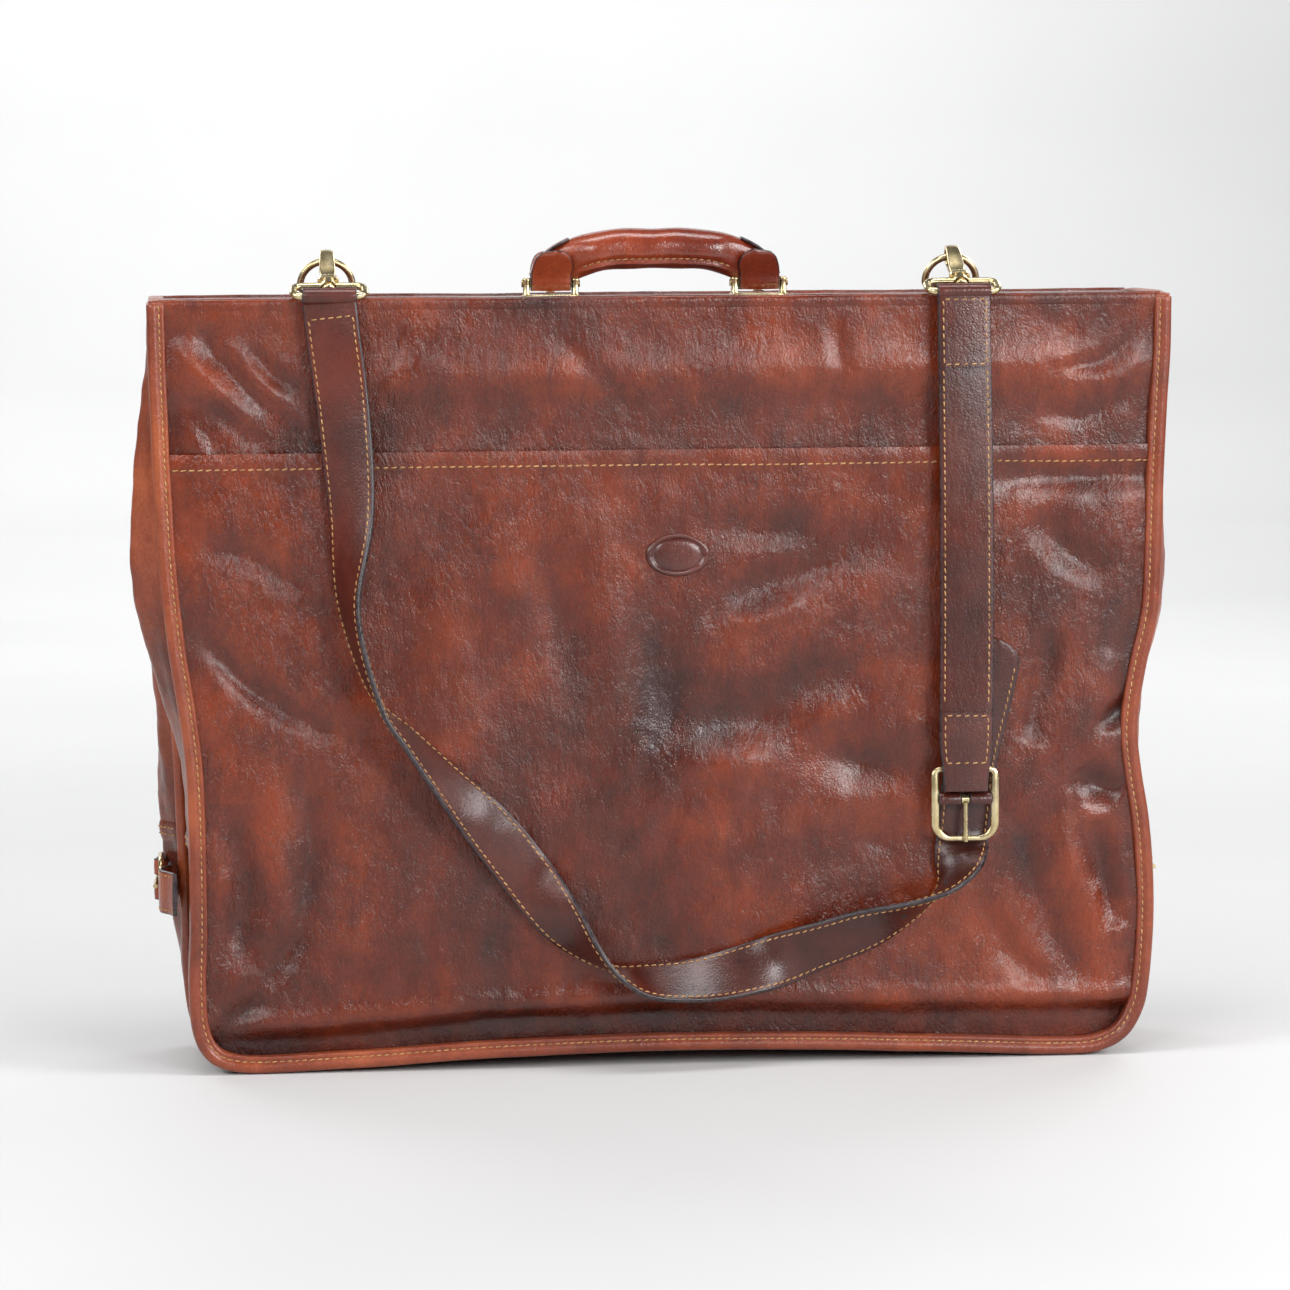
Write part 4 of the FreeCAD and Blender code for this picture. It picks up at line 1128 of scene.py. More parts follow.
span = SPINE_HIGH[0]
u = np.linspace(-span, span, int(590 / (CELL * 1.6)))
w = np.linspace(-54.0, 54.0, int(108 / (CELL * 1.6)))
gx, gy = np.meshgrid(u, w, indexing="ij")
level = np.minimum(spine_level(gx, gy), SPINE_Z + np.where(np.abs(gy) < 30, -0.02, 0.6))
build("spine_leather", slab(np.stack([gx, gy, level], axis=2), np.stack([gx, gy, level - 2.6], axis=2)),
      [BODY_REAR], "spine", replaces=("spine_panel",))
ends = []
for side in (-1, 1):
    y = np.linspace(-53.5, 53.5, 60)
    centres = np.stack([np.full(60, side * (span - 4.0)), y,
                        spine_level(np.full(60, side * 290.0), y) + 0.2], axis=1)
    band = Band(centres, same([1.0, 0, 0], 60), 9.0, 2.4, 0.3)
    ends.append(band.mesh()[:2])
build("spine_end_binding", joined(ends), [BINDING], "spine")


def crease_strip(name, sign):
    """Leather that turns the corner between a half and the spine."""
    stations = np.array([
        (53.0, 436.5), (53.9, 439.0), (54.3, 441.4), (54.3, 443.8), (53.6, 445.7), (52.1, 446.4),
        (50.4, 445.9),
        (48.0, 444.8), (45.0, 444.4), (42.5, 444.3),
    ])
    line = spline_at(stations, 34)
    ahead = unit(np.gradient(line, axis=0))
    inward = np.stack([-ahead[:, 1], ahead[:, 0]], axis=1)
    n = int(580 / (CELL * 1.5))
    x = np.linspace(-288.5, 288.5, n)
    outer = np.zeros((n, len(line), 3))
    inner = np.zeros((n, len(line), 3))
    for k in range(len(line)):
        wave = 0.35 * lattice(x, x * 0 + k * 1.2, 46, 81) + 0.14 * lattice(x, x * 0 + k * 1.2, 11, 83)
        for grid, shift in ((outer, wave), (inner, wave + 1.3)):
            out, up = (line[k, i] + inward[k, i] * shift for i in (0, 1))
            grid[:, k] = np.stack([x, sign * out, up], axis=1)
    piece = build(name, slab(outer, inner), [BODY if sign < 0 else BODY_REAR], None)
    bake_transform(piece)


crease_strip("front_crease_leather", -1)
crease_strip("rear_crease_leather", 1)


# ---------------------------------------------------------------- badge
def badge_piece():
    centre = (BADGE_LOW + BADGE_HIGH) / 2
    half_w = (BADGE_HIGH[0] - BADGE_LOW[0]) / 2
    half_h = (BADGE_HIGH[2] - BADGE_LOW[2]) / 2
    base = pocket_height(np.array([centre[0]]), np.array([centre[2]]))[0] - 0.3
    profile = ((1.0, 0.0), (1.02, 0.9), (0.985, 1.75), (0.925, 2.05), (0.86, 1.8), (0.83, 1.0), (0.78, 0.5),
               (0.72, 0.85), (0.64, 1.15), (0.4, 1.3), (0.15, 1.34))
    turns = np.linspace(0, 2 * np.pi, 72, endpoint=False)
    rings = []
    for share, lift in profile:
        rings.append(np.stack([centre[0] + half_w * share * np.cos(turns), np.full(72, -(base + lift)),
                               centre[2] + half_h * share * np.sin(turns)], axis=1))
    rings.insert(0, np.stack([centre[0] + half_w * 0.9 * np.cos(turns), np.full(72, -(base - 0.6)),
                              centre[2] + half_h * 0.9 * np.sin(turns)], axis=1))
    build("badge_leather_oval", tube(np.array(rings)), [BADGE], "front_half",
          replaces=("badge",))


badge_piece()


# ---------------------------------------------------------------- shoulder strap
BUCKLE_LOW, BUCKLE_HIGH = box_mm("strap_buckle")
CLEAR = 57.3                    # the strap's nearest face, just proud of the pocket
STRAP_W = 31.0
LINK_BAR_Y = -64.05             # middle of the oblong links' bars
ROUTE = (
    (-192, 444, (1.0, -0.1, 0.0)), (-190, 425, (1.0, -0.2, 0.0)), (-185, 384, (1.0, -0.3, 0.0)),
    (-181, 326, (0.8, -0.6, 0.0)), (-183, 270, (0.3, -0.9, 0.0)), (-168, 218, (0.1, -1.0, -0.1)),
    (-149, 194, (-0.2, -0.9, -0.2)), (-127, 168, (-0.4, -0.8, -0.5)), (-101, 138, (-0.7, -0.3, -0.7)),
    (-81, 112, (-0.8, 0.0, -0.6)), (-64, 89, (-0.7, 0.5, -0.5)), (-47, 70, (-0.3, 0.9, -0.3)),
    (-32, 58, (0.0, 1.0, 0.0)), (-12, 52, (0.1, 0.9, 0.5)), (18, 52, (0.0, 0.7, 0.7)),
    (50, 58, (-0.2, 0.4, 0.9)),
    (82, 68, (-0.2, -0.3, 0.9)), (111, 78, (-0.3, -0.5, 0.8)), (135, 88, (-0.2, -0.8, 0.5)),
    (152, 97, (-0.1, -1.0, 0.2)), (163, 107, (0.4, -0.9, 0.1)), (169, 118, (0.8, -0.5, 0.0)),
    (172, 131, (1.0, 0.0, 0.0)), (174, 152, (1.0, 0.0, 0.1)), (178, 182, (1.0, 0.0, 0.1)),
    (186, 215, (1.0, 0.0, 0.2)), (193, 246, (1.0, 0.0, 0.2)),
)


def long_band(thick=3.1):
    acrosses = np.array([a for _, _, a in ROUTE], float)
    acrosses = unit(acrosses)
    depth = STRAP_W / 2 * np.abs(acrosses[:, 1]) + 2.25 * np.sqrt(np.maximum(0, 1 - acrosses[:, 1] ** 2))
    centres = np.array([(x, -(CLEAR + d), z) for (x, z, _), d in zip(ROUTE, depth)])
    centres[:2, 1] = LINK_BAR_Y
    count = (len(ROUTE) - 1) * 12 + 1
    middle = spline_at(centres, count)
    sides = spline_at(acrosses, count)
    reach = distances(middle)
    left = reach[-1] - reach
    width = STRAP_W * rounded(left, 15.5, 0.02)
    return Band(middle, sides, width, thick), reach


strap_band, strap_reach = long_band()


def loop_band(x_mid, y, z, radius, width, thick, start, end, count=26):
    """Strip bent round a bar along X, from one angle to another in degrees, 0 pointing to +Y and 90 up."""
    angle = np.radians(np.linspace(start, end, count))
    centres = np.stack([np.full(count, float(x_mid)), y + radius * np.cos(angle),
                        z + radius * np.sin(angle)], axis=1)
    return Band(centres, same([1.0, 0, 0], count), width, thick, 0.05)


bar_z = float(box_mm("strap_short")[1][2]) - 4.7
left_loop = loop_band(RING_X[0], LINK_BAR_Y, bar_z, 3.6, STRAP_W, 2.2, -80, 260)
strapwork("strap_long_leather", [strap_band, left_loop], STRAP, "strap", replaces=("strap_long",))


def strap_rows(band, first=0, last=None, share=0.82, faces=(1, -1), pitch=4.3, seed=3):
    """Stitches along both edges and both faces of a band."""
    rows_of = []
    for side in faces:
        for edge_side in (-1, 1):
            line = band.line(edge_side * share, side, 0.0)[first:last]
            rows_of.append(row_of_stitches(line, band.normal[first:last] * side, pitch, seed=seed))
    return rows_of


START = 7
threads = strap_rows(strap_band, START, -6)
for side in (1, -1):
    at = START
    edge_line = np.array([strap_band.centres[at] + strap_band.across[at] * s * 12.0
                          + strap_band.normal[at] * side * 1.85 for s in np.linspace(-1, 1, 8)])
    threads.append(row_of_stitches(edge_line, np.tile(strap_band.normal[at] * side, (8, 1)), 4.3, seed=8))
sew("strap_long_stitches", threads, "strap")

# Dark rimmed discs on both faces of the strap stand for the punched holes: painted shade of the holes'
# insides.
hole_shade_discs = []
for mm in (24, 56, 88, 126, 160):
    target = strap_reach[-1] - 205 + mm
    i = int(np.argmin(np.abs(strap_reach - target)))
    for side in (1, -1):
        c = strap_band.centres[i] + strap_band.normal[i] * side * 1.75
        turns = np.linspace(0, 2 * np.pi, 16, endpoint=False)
        rings = []
        for share, lift in ((1.25, -0.3), (1.25, 0.22), (1.0, 0.42), (0.9, 0.3), (0.5, 0.24)):
            ring = [c + 1.5 * share * (strap_band.ahead[i] * math.cos(a) + strap_band.across[i] * math.sin(a))
                    + strap_band.normal[i] * side * lift for a in turns]
            rings.append(ring)
        hole_shade_discs.append(tube(np.array(rings)))
build("strap_hole_shade_discs", joined(hole_shade_discs), [EDGE_PAINT], "strap")


# short part: main layer, top return with its box of stitches, and the buckle end
BUCKLE_X = float(BUCKLE_LOW[0] + BUCKLE_HIGH[0]) / 2
BAR_Z = float(BUCKLE_HIGH[2]) - 17.5 - 1.7
BUCKLE_Y = float(BUCKLE_LOW[1] + BUCKLE_HIGH[1]) / 2 - GAP_Y
face_y = BUCKLE_Y - 3.3
short_z = np.linspace(bar_z - 3.2, BAR_Z + 5.0, 90)
short_y = np.interp(short_z, (BAR_Z, BAR_Z + 40, bar_z), (face_y, face_y, LINK_BAR_Y))
below_link = step(short_z, bar_z, bar_z - 60)
short_y = short_y + 0.5 * np.sin((short_z - BAR_Z) / 48.0) * step(short_z, BAR_Z + 30,
                                                                  BAR_Z + 90) * below_link
short_x = BUCKLE_X + 1.2 * np.sin((short_z - BAR_Z) / 90.0) * step(short_z, BAR_Z + 20,
                                                                   BAR_Z + 80) * below_link
centres = np.stack([short_x, short_y, short_z], axis=1)
tilt = np.stack([np.ones(90), -0.08 * np.sin((short_z - BAR_Z) / 70.0), np.zeros(90)], axis=1)
short_wide = np.interp(short_z, (BAR_Z, BAR_Z + 12, BAR_Z + 34), (25.4, 26.2, STRAP_W))
short_band = Band(centres, tilt, short_wide, 2.6)
short_loop = loop_band(BUCKLE_X, LINK_BAR_Y, bar_z, 3.5, STRAP_W, 1.9, -60, 250)
normal_side = -1 if short_band.normal[40][1] > 0 else 1


def over_short(z, lift):
    """Middle line of a layer that lies on the short strap."""
    x, y = (np.interp(z, short_z[::-1], values[::-1]) for values in (short_x, short_y))
    return np.stack([x, y - lift, z], axis=1)


top_z = np.linspace(bar_z - 1.0, 404.0, 24)
top_band = Band(over_short(top_z, 2.2), same([1.0, 0, 0], 24), STRAP_W - 0.8, 1.8)
low_z = np.linspace(205.0, BAR_Z + 5.4, 26)
low_wide = np.interp(low_z, (BAR_Z, BAR_Z + 12, BAR_Z + 34), (25.0, 25.8, STRAP_W - 0.6))
low_band = Band(over_short(low_z, 2.1), same([1.0, 0, 0], 26), low_wide, 1.8)
buckle_loops = [loop_band(BUCKLE_X + side * 9.0, BUCKLE_Y, BAR_Z, 3.45, 13.0, 2.0, -30,
                          215) for side in (-1, 1)]
strapwork("strap_short_leather", [short_band, short_loop, top_band, low_band, *buckle_loops], STRAP, "strap",
          replaces=("strap_short",))

first_free = int(np.argmin(np.abs(short_z - 402)))
last_free = int(np.argmin(np.abs(short_z - 207)))
threads = strap_rows(short_band, first_free, last_free, faces=(normal_side,))
threads += strap_rows(short_band, 4, -6, faces=(-normal_side,))


def box_of_stitches(band, normal_sign, first, last):
    """Rectangle of stitches on one face of a band."""
    out = strap_rows(band, first, last, faces=(normal_sign,))
    for at in (first, last - 1):
        ends = np.array([band.centres[at] + band.across[at] * s * (STRAP_W / 2 * 0.8)
                         + band.normal[at] * normal_sign
                         * (band.thick[at] / 2 + 0.15) for s in np.linspace(-1, 1, 8)])
        out.append(row_of_stitches(ends, np.tile(band.normal[at] * normal_sign, (8, 1)), 4.3, seed=12))
    return out


top_sign = -1 if top_band.normal[10][1] > 0 else 1
low_sign = -1 if low_band.normal[10][1] > 0 else 1
threads += box_of_stitches(top_band, top_sign, 2, 23)
threads += box_of_stitches(low_band, low_sign, 1, 17)
sew("strap_short_stitches", threads, "strap")


# ---------------------------------------------------------------- tabs under the rings
RING_BAR = (-14.0, 450.0)       # straight side of each D-ring (y, z)


def tab_piece(x, word):
    y0, z0 = RING_BAR
    arc = np.radians(np.linspace(-88, 205, 26))
    around = np.stack([y0 + 3.35 * np.cos(arc), z0 + 3.35 * np.sin(arc)], axis=1)
    tail_top = np.array([(y0 + 3.4, SPINE_Z + 1.6), (-4, SPINE_Z + 1.35), (6, SPINE_Z + 1.3),
                         (14, SPINE_Z + 1.25), (21.6, SPINE_Z + 1.2)])
    line = np.concatenate([around[::-1], [(y0 + 0.5, 446.5)], tail_top])
    line = smooth_path(line, 0.9, 3)
    centres = np.stack([np.full(len(line), float(x)), line[:, 0], np.maximum(line[:, 1], SPINE_Z + 1.15)],
                       axis=1)
    reach = distances(centres)
    left = reach[-1] - reach
    width = 20.0 * rounded(left, 8.0)
    band = Band(centres, same([1.0, 0, 0], len(line)), width, 2.2, 0.15)
    strapwork("ring_tab_leather_" + word, [band], STRAP, "spine", replaces=("ring_tab_" + word,))


for x, word in zip(RING_X, ("left", "right")):
    tab_piece(x, word)


# ---------------------------------------------------------------- handle
PIN_X = 61.0                    # handle pins, either side of the middle
GRIP_POWER = 0.86               # below 1 squares the grip's section


def handle_line():
    """Centre of the grip (x, z) from the left pin over the arch to the right pin."""
    half = ((PIN_X, PIN_Z + 0.5), (60.8, 455.6), (57.4, 460.4), (50.0, 465.4), (38.0, 470.0), (23.0, 472.3),
            (0.0, 472.6))
    left = [(-x, z) for x, z in half]
    right = list(half)[::-1][1:]
    return smooth_path(left + right, 2.0, 3)


arch = handle_line()
ahead = unit(np.gradient(arch, axis=0))
outward = np.stack([-ahead[:, 1], ahead[:, 0]], axis=1)
reach = distances(arch)
from_end = np.minimum(reach, reach[-1] - reach)
depth_y = 4.0 + 8.4 * step(from_end, 6, 34)
radius = 11.6 + 0.2 * step(from_end, 20, 40)
turns = np.linspace(0, 2 * np.pi, 80, endpoint=False)
rings = []
for i in range(len(arch)):
    ring = []
    sewn = float(step(from_end[i], 14, 26))
    for a in turns:
        out = math.sin(a)
        aside = math.cos(a)
        r_out = radius[i] * boxy(out, GRIP_POWER)
        r_side = depth_y[i] * boxy(aside, GRIP_POWER)
        under = abs(math.degrees(math.atan2(aside, -out)))
        ridge = sewn * (1.0 * math.exp(-((under - 50) / 5.5) ** 2) - 0.7 * math.exp(-((under - 62) / 6) ** 2))
        swell = 1 + 0.02 * math.sin(reach[i] * 0.21 + 2 * a) * sewn + ridge / 12
        ring.append((arch[i, 0] + outward[i, 0] * r_out * swell, r_side * swell,
                     arch[i, 1] + outward[i, 1] * r_out * swell))
    rings.append(ring)
grip = build("handle_grip_leather", tube(np.array(rings)), [HANDLE], "handle",
             replaces=("handle_grip", "handle_core", "handle_loop_left", "handle_loop_right"))

# stitches beside the sewn ridge on both sides of the grip
keep = np.where(from_end > 22)[0]
threads = []
for side in (-1, 1):
    lean = math.radians(62)
    down = radius[keep] * math.cos(lean) ** GRIP_POWER
    out_y = depth_y[keep] * math.sin(lean) ** GRIP_POWER
    line = np.stack([arch[keep, 0] - outward[keep, 0] * down, side * out_y,
                     arch[keep, 1] - outward[keep, 1] * down], axis=1)
    normals = np.stack([-outward[keep, 0] * 0.4, np.full(len(keep), side * 0.9), -outward[keep, 1] * 0.4],
                       axis=1)
    line = line - normals * 0.35
    threads.append(row_of_stitches(line, normals, 4.0, length=2.7, radius=0.36, seed=31))
sew("handle_stitches", threads, "handle")

# leather tabs over both ends of the grip, front and back, round the pins
tabs = []
for side in (-1, 1):
    for face in (-1, 1):
        stations = ((PIN_Z - 3.6, 3.2), (PIN_Z, 5.0), (456.0, 5.6), (460.0, 7.2), (464.0, 9.4),
                    (468.0, 11.4), (471.5, 12.6))
        line = spline_at(np.array(stations), 26)
        lean = side * (PIN_X - 4.2 * step(line[:, 0], 458, 472))
        centres = np.stack([lean, face * line[:, 1], line[:, 0]], axis=1)
        r = distances(centres)
        left = r[-1] - r
        width = 23.2 * rounded(left, 10.0)
        band = Band(centres, same([1.0, 0, 0], 26), width, 1.7, 0.5)
        tabs.append(band)
    tabs.append(loop_band(side * PIN_X, 0.0, PIN_Z, 3.35, 23.2, 1.9, 180, 360))
    pool = np.where((from_end > 2) & (from_end < 24) & (arch[:, 0] * side > 0))[0]
    centres = np.stack([arch[pool, 0] + outward[pool, 0] * (radius[pool] + 0.3), np.zeros(len(pool)),
                        arch[pool, 1] + outward[pool, 1] * (radius[pool] + 0.3)], axis=1)
    inward_end = from_end[pool]
    width = 13.0 * np.sqrt(np.clip(1 - np.clip((inward_end - 16) / 8.2, 0, 1) ** 2, 0.05, 1))
    width = np.minimum(width, 2 * depth_y[pool] + 1)
    tabs.append(Band(centres, same([0, 1.0, 0], len(pool)), width, 1.6, 0.3))
strapwork("handle_tabs", tabs, HANDLE, "handle")


# ---------------------------------------------------------------- side straps and chapes
SIDE_BAR_Y = 24.0               # bar of each side buckle


def side_pieces(side, word):
    low, high = box_mm("side_strap_" + word)
    inner = min(abs(low[0]), abs(high[0]))
    z_mid = (low[2] + high[2]) / 2
    y = np.linspace(-45, 15.6, 60)
    bow = smooth_path([(-45, 1.6), (-38, 4.2), (-30, 8.8), (-22, 9.8), (-14, 7.8), (-7, 4.4), (0, 4.0),
                       (15.6, 4.1)], 2.0, 2)
    flat = np.interp(y, (-45, -38, 15.6), (3.0, 4.1, 4.1))
    x = inner + (np.interp(y, bow[:, 0], bow[:, 1]) if side < 0 else flat)
    wave = 0.3 * np.sin(y / 9.0)
    centres = np.stack([side * (x + wave), y, np.full(60, z_mid)], axis=1)
    left = 15.6 - y
    width = 25.0 * rounded(left, 11.5)
    band = Band(centres, same([0, 0, 1.0], 60), width, 2.6)
    strapwork("side_strap_leather_" + word, [band], BINDING, "front_half", replaces=("side_strap_" + word,))
    out = 1 if band.normal[20][0] * side > 0 else -1
    sew("side_strap_stitches_" + word, strap_rows(band, 3, 50, share=0.8, faces=(out,)), "front_half")
    # chape round the buckle's bar
    bl, bh = box_mm("side_buckle_" + word)
    bar_x = abs(bl[0] + bh[0]) / 2
    y0 = SIDE_BAR_Y
    chape = []
    for lift in (-1, 1):
        ang = np.radians(np.linspace(60, 300, 22))
        yy = y0 + 3.25 * np.cos(ang)
        xx = bar_x + 3.25 * np.sin(ang)
        cc = np.stack([side * xx, yy, np.full(22, z_mid + lift * 7.4)], axis=1)
        chape.append(Band(cc, same([0, 0, 1.0], 22), 9.6, 2.0, 0.1))
    yy = np.linspace(y0 + 5.6, 44.5, 24)
    for start, end in ((bar_x + 2.0, bar_x - 3.6), (bar_x - 3.4, bar_x - 5.2)):
        xx = np.interp(yy, (y0 + 5.6, 34, 44.5), (start, end + 0.8, end))
        cc = np.stack([side * xx, yy, np.full(24, z_mid)], axis=1)
        chape.append(Band(cc, same([0, 0, 1.0], 24), 24.4, 2.0))
    strapwork("side_chape_leather_" + word, chape, BINDING, "rear_half", replaces=("side_chape_" + word,))


for side, word in ((-1, "left"), (1, "right")):
    side_pieces(side, word)


# ---------------------------------------------------------------- brass drawn over plainer CAD solids
def rounded_rings(levels, centre, power=3.2, count=28):
    """Rings of rounded-square sections (z, half x, half y) about a centre (x, y)."""
    out = []
    for z, hx, hy in levels:
        ring = []
        for a in np.linspace(0, 2 * np.pi, count, endpoint=False):
            c = boxy(math.cos(a), 2 / power)
            d = boxy(math.sin(a), 2 / power)
            ring.append((centre[0] + hx * c, centre[1] + hy * d, z))
        out.append(ring)
    return np.array(out)


for x, word in zip(EAR_X, ("left", "right")):
    parts = [tube(rounded_rings(((SPINE_Z + 0.1, 16.4, 11.8), (SPINE_Z + 0.8, 16.4, 11.8),
                                 (SPINE_Z + 1.2, 15.9, 11.3)), (x, 0), 7, 60))]
    for side in (-1, 1):
        levels = ((SPINE_Z + 0.6, 2.15, 4.8), (446.6, 2.05, 4.4), (451.5, 1.95, 4.2), (453.4, 2.0, 4.2),
                  (454.3, 2.3, 4.5),
                  (455.3, 2.3, 4.5), (455.8, 1.9, 4.0))
        parts.append(tube(rounded_rings(levels, (x + side * 14.2, 0), 4)))
    build("handle_post_" + word, joined(parts), [BRASS], "spine",
          replaces=("handle_bracket_" + word,))


def buckle_piece():
    """Cast buckle: a broad rounded frame that bows forward, on a round bar."""
    half = (BUCKLE_HIGH[0] - BUCKLE_LOW[0]) / 2 - 1.9
    up = 17.5
    down = 22.8
    corners = ((half, up, 3.5), (half, -down, 9.5), (-half, -down, 9.5), (-half, up, 3.5))
    line = []
    for k, (cx, cz, r) in enumerate(corners):
        sx = 1 if cx > 0 else -1
        sz = 1 if cz > 0 else -1
        start = {(1, 1): 90, (1, -1): 0, (-1, -1): -90, (-1, 1): -180}[(sx, sz)]
        for a in np.linspace(start, start - 90, 9):
            line.append((cx - sx * r + r * math.cos(math.radians(a)),
                         cz - sz * r + r * math.sin(math.radians(a))))
    line.append(line[0])
    line = resample(np.array(line), 150)[:-1]
    ahead = np.roll(line, -1, axis=0) - np.roll(line, 1, axis=0)
    ahead = unit(ahead)
    outward = np.stack([-ahead[:, 1], ahead[:, 0]], axis=1)
    outward *= np.sign((outward * line).sum(axis=1))[:, None]
    for _ in range(3):
        outward = (np.roll(outward, 1, axis=0) + 2 * outward + np.roll(outward, -1, axis=0)) / 4
    k = 18
    rings = []
    for (px, pz), (ox, oz) in zip(line, outward):
        wide = 1.65 + 0.75 * abs(ox)
        bow = -1.1 * (1 - ((pz + 2.6) / 21) ** 2)
        ring = []
        for a in np.linspace(0, 2 * np.pi, k, endpoint=False):
            c = boxy(math.cos(a), 0.8) * wide
            d = boxy(math.sin(a), 0.8) * 1.45
            ring.append((BUCKLE_X + px + ox * c, BUCKLE_Y + bow + d, BAR_Z + pz + oz * c))
        rings.append(ring)
    rings = np.array(rings)
    n = len(rings)
    faces = []
    for i in range(n):
        for j in range(k):
            faces.append((i * k + j, i * k + (j + 1) % k, ((i + 1) % n) * k + (j + 1) % k,
                          ((i + 1) % n) * k + j))
    frame_part = (rings.reshape(-1, 3), faces)
    bar = []
    for x in np.linspace(-half, half, 8):
        bar.append([(BUCKLE_X + x, BUCKLE_Y + 1.7 * math.cos(a), BAR_Z + 1.7 * math.sin(a))
                    for a in np.linspace(0, 2 * np.pi, 16, endpoint=False)])
    build("strap_buckle_frame", joined([frame_part, tube(np.array(bar))]), [BRASS], "strap",
          replaces=("strap_buckle",))


buckle_piece()

joint_at = {j["name"]: j for j in frame["record"]["behaviour"]["joints"]}
HOOK_SLOPE = math.radians(23.6)
SHANK = 34.9


def hook_piece(x, word):
    """Snap hook: rivet head, swivel block, flat shank and rounded claw."""
    _, y0, z0 = (value / MM for value in joint_at["hook_" + word + "_swivel"]["pos_m"])
    y0 -= GAP_Y
    down = np.array([0, math.sin(HOOK_SLOPE), -math.cos(HOOK_SLOPE)])
    along = np.array([0, math.cos(HOOK_SLOPE), math.sin(HOOK_SLOPE)])
    origin = np.array([x, y0, z0])

    def world_of(points):
        p = np.asarray(points, float)
        return origin + p[..., :1] * np.array([1.0, 0, 0]) + p[..., 1:2] * down + p[..., 2:3] * along

    parts = []
    turns = np.linspace(0, 2 * np.pi, 28, endpoint=False)
    lathe = ((-5.3, 1.6), (-5.3, 2.3), (-5.0, 3.0), (-4.5, 3.5), (-3.9, 3.6), (-3.5, 3.2), (-3.2, 2.2),
             (4.0, 2.2))
    parts.append(tube(world_of([[(r * math.cos(a), r * math.sin(a), z) for a in turns] for z, r in lathe])))
    block = ((3.0, 5.0, 4.1), (3.3, 5.9, 4.9), (5.4, 6.1, 5.0), (7.4, 5.6, 4.5), (9.6, 4.6, 3.3),
             (10.4, 3.8, 2.6))
    rings = []
    for z, hx, hy in block:
        ring = []
        for a in turns:
            c = boxy(math.cos(a), 0.62)
            d = boxy(math.sin(a), 0.62)
            ring.append((hx * c, hy * d, z))
        rings.append(ring)
    parts.append(tube(world_of(rings)))
    stations = [(0.0, 8.0), (-0.2, 12.0), (-1.2, 16.5), (-2.6, 21.0), (-4.0, 26.0), (-4.8, 31.0)]
    for phi in (0, 30, 60, 90, 120, 150, 180):
        stations.append((-4.9 * math.cos(math.radians(phi)), SHANK + 4.9 * math.sin(math.radians(phi))))
    stations.append((4.9, 33.4))
    line = smooth_path(stations, 0.7, 2)
    local = np.stack([np.zeros(len(line)), line[:, 0], line[:, 1]], axis=1)
    run = np.linspace(0, 1, len(line))
    width = np.interp(run, (0, 0.25, 0.5, 0.8, 1.0), (8.2, 9.2, 8.4, 7.4, 6.2))
    thick = np.interp(run, (0, 0.15, 0.4, 1.0), (4.2, 3.2, 2.9, 2.7))
    band = Band(world_of(local), same([1.0, 0, 0], len(line)), width, thick, 0.35)
    parts.append(band.mesh()[:2])
    build("snap_hook_body_" + word, joined(parts), [BRASS], "hook_" + word,
          replaces=("snap_hook_" + word,))


for x, word in zip(RING_X, ("left", "right")):
    hook_piece(x, word)


# ---------------------------------------------------------------- materials of the CAD nodes that stay
def dress(material, *nodes):
    for node in nodes:
        obj = frame["nodes"][node]
        if not obj.material_slots:
            obj.data.materials.append(material)
        for place in obj.material_slots:
            place.material = material


dress(BRASS, "strap_prong", "strap_link_left", "strap_link_right", "snap_gate_left", "snap_gate_right",
      "d_ring_left", "d_ring_right", "handle_pins", "spine_rivets", "side_buckle_left", "side_buckle_right",
      "side_prong_left", "side_prong_right")
dress(BRASS_DARK, "hanger_plate", "hanging_hook", "front_zip_slider", "rear_zip_slider")
dress(BOARD, "front_board", "rear_board", "spine_board")


# ---------------------------------------------------------------- studio
WALL_BACK = 2.0                 # room for a camera that looks from behind, above the floor


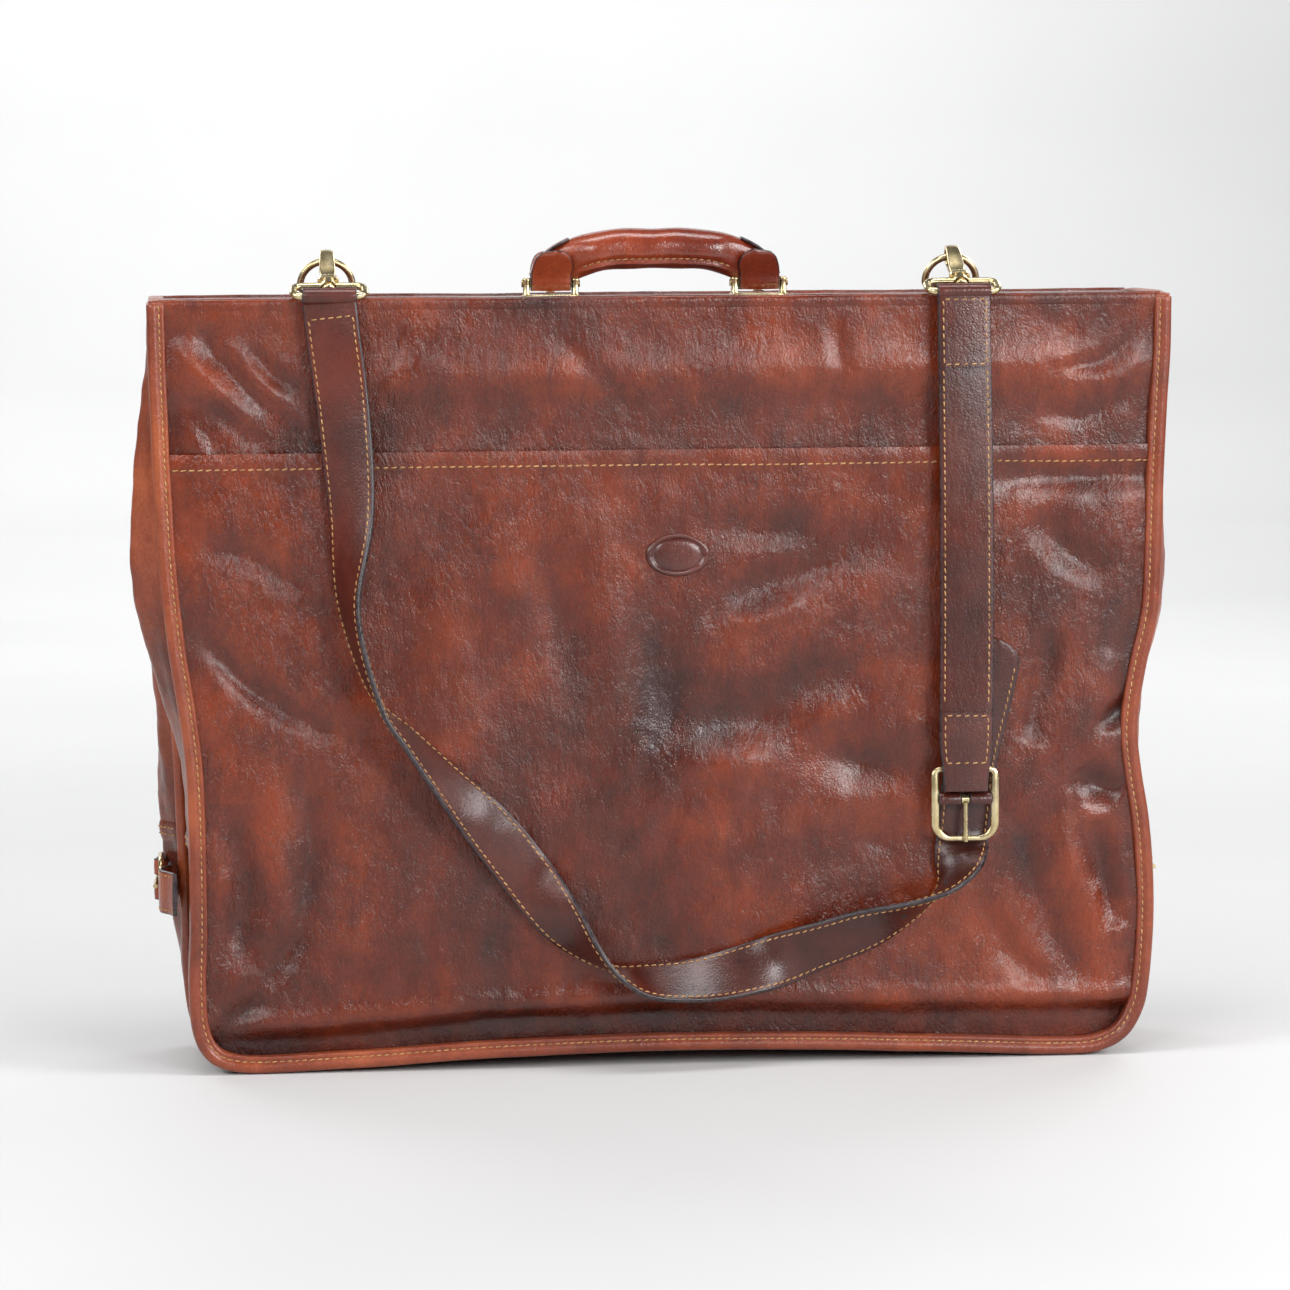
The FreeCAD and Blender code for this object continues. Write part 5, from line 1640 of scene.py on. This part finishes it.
def backdrop():
    """Pale floor that turns up into the wall behind."""
    curve = [(1.4, 0.0), (2.0, 0.03), (2.6, 0.2), (3.1, 0.6), (3.4, 1.2), (3.5, 2.0), (3.5, 6.0)]
    line = [(-7.0, 0.0), (-2.0, 0.0), (0.0, 0.0)] + [(y + WALL_BACK, z) for y, z in curve]
    verts = []
    for x in (-6.0, 6.0):
        verts += [(x, y, z) for y, z in line]
    n = len(line)
    faces = [(i, i + 1, n + i + 1, n + i) for i in range(n - 1)]
    mesh = bpy.data.meshes.new("floor")
    mesh.from_pydata(verts, [], faces)
    mesh.polygons.foreach_set("use_smooth", np.full(len(mesh.polygons), True))
    mesh.materials.append(pale("floor", (0.59, 0.59, 0.59), (0.62, 0.62, 0.62)))
    obj = bpy.data.objects.new("floor", mesh)
    scene.collection.objects.link(obj)


def softbox(name, place, width, height, power, aim=(0.0, 0.0, 0.24)):
    light = bpy.data.lights.new(name, "AREA")
    light.shape = "RECTANGLE"
    light.size = width
    light.size_y = height
    light.energy = power
    obj = bpy.data.objects.new(name, light)
    obj.location = place
    obj.rotation_euler = (Vector(aim) - Vector(place)).to_track_quat("-Z", "Y").to_euler()
    scene.collection.objects.link(obj)


backdrop()
softbox("key", (-1.9, -0.95, 1.35), 0.9, 1.1, 24)
softbox("fill", (1.9, -0.8, 1.1), 0.8, 1.1, 28)
softbox("front_left", (-1.15, -2.35, 1.35), 0.85, 0.8, 20)
softbox("front_right", (1.1, -2.3, 0.9), 0.8, 0.7, 30)
softbox("overhead", (0.0, -0.35, 2.1), 1.6, 0.6, 22, aim=(0.0, 0.0, 0.2))
softbox("rear_left", (-1.5, 2.1, 1.6), 1.0, 0.9, 20)
softbox("rear_right", (1.6, 2.0, 1.5), 1.0, 0.9, 20)
softbox("wall", (0.0, 1.3 + WALL_BACK, 2.7), 3.4, 1.2, 114, aim=(0.0, 2.6 + WALL_BACK, 0.3))

world = bpy.data.worlds.new("studio")
world.use_nodes = True
world.node_tree.nodes["Background"].inputs["Color"].default_value = (0.95, 0.97, 1.0, 1)
world.node_tree.nodes["Background"].inputs["Strength"].default_value = 0.17
scene.world = world
scene.view_settings.view_transform = "Standard"

camera_data = bpy.data.cameras.new("camera")
camera_data.sensor_width = 36
camera_data.lens = 135.6
camera_data.dof.use_dof = False
camera = bpy.data.objects.new("camera", camera_data)
aim = Vector((-0.0125, -0.039, 0.2455))
azimuth = math.radians(-5.6)
elevation = math.radians(5.4)
distance = 2.8
level = math.cos(elevation)
toward = Vector((math.sin(azimuth) * level, -math.cos(azimuth) * level, math.sin(elevation)))
camera.location = aim + distance * toward
camera.rotation_euler = (aim - camera.location).to_track_quat("-Z", "Y").to_euler()
camera.rotation_euler.rotate_axis("Z", math.radians(-0.35))
scene.collection.objects.link(camera)
scene.camera = camera
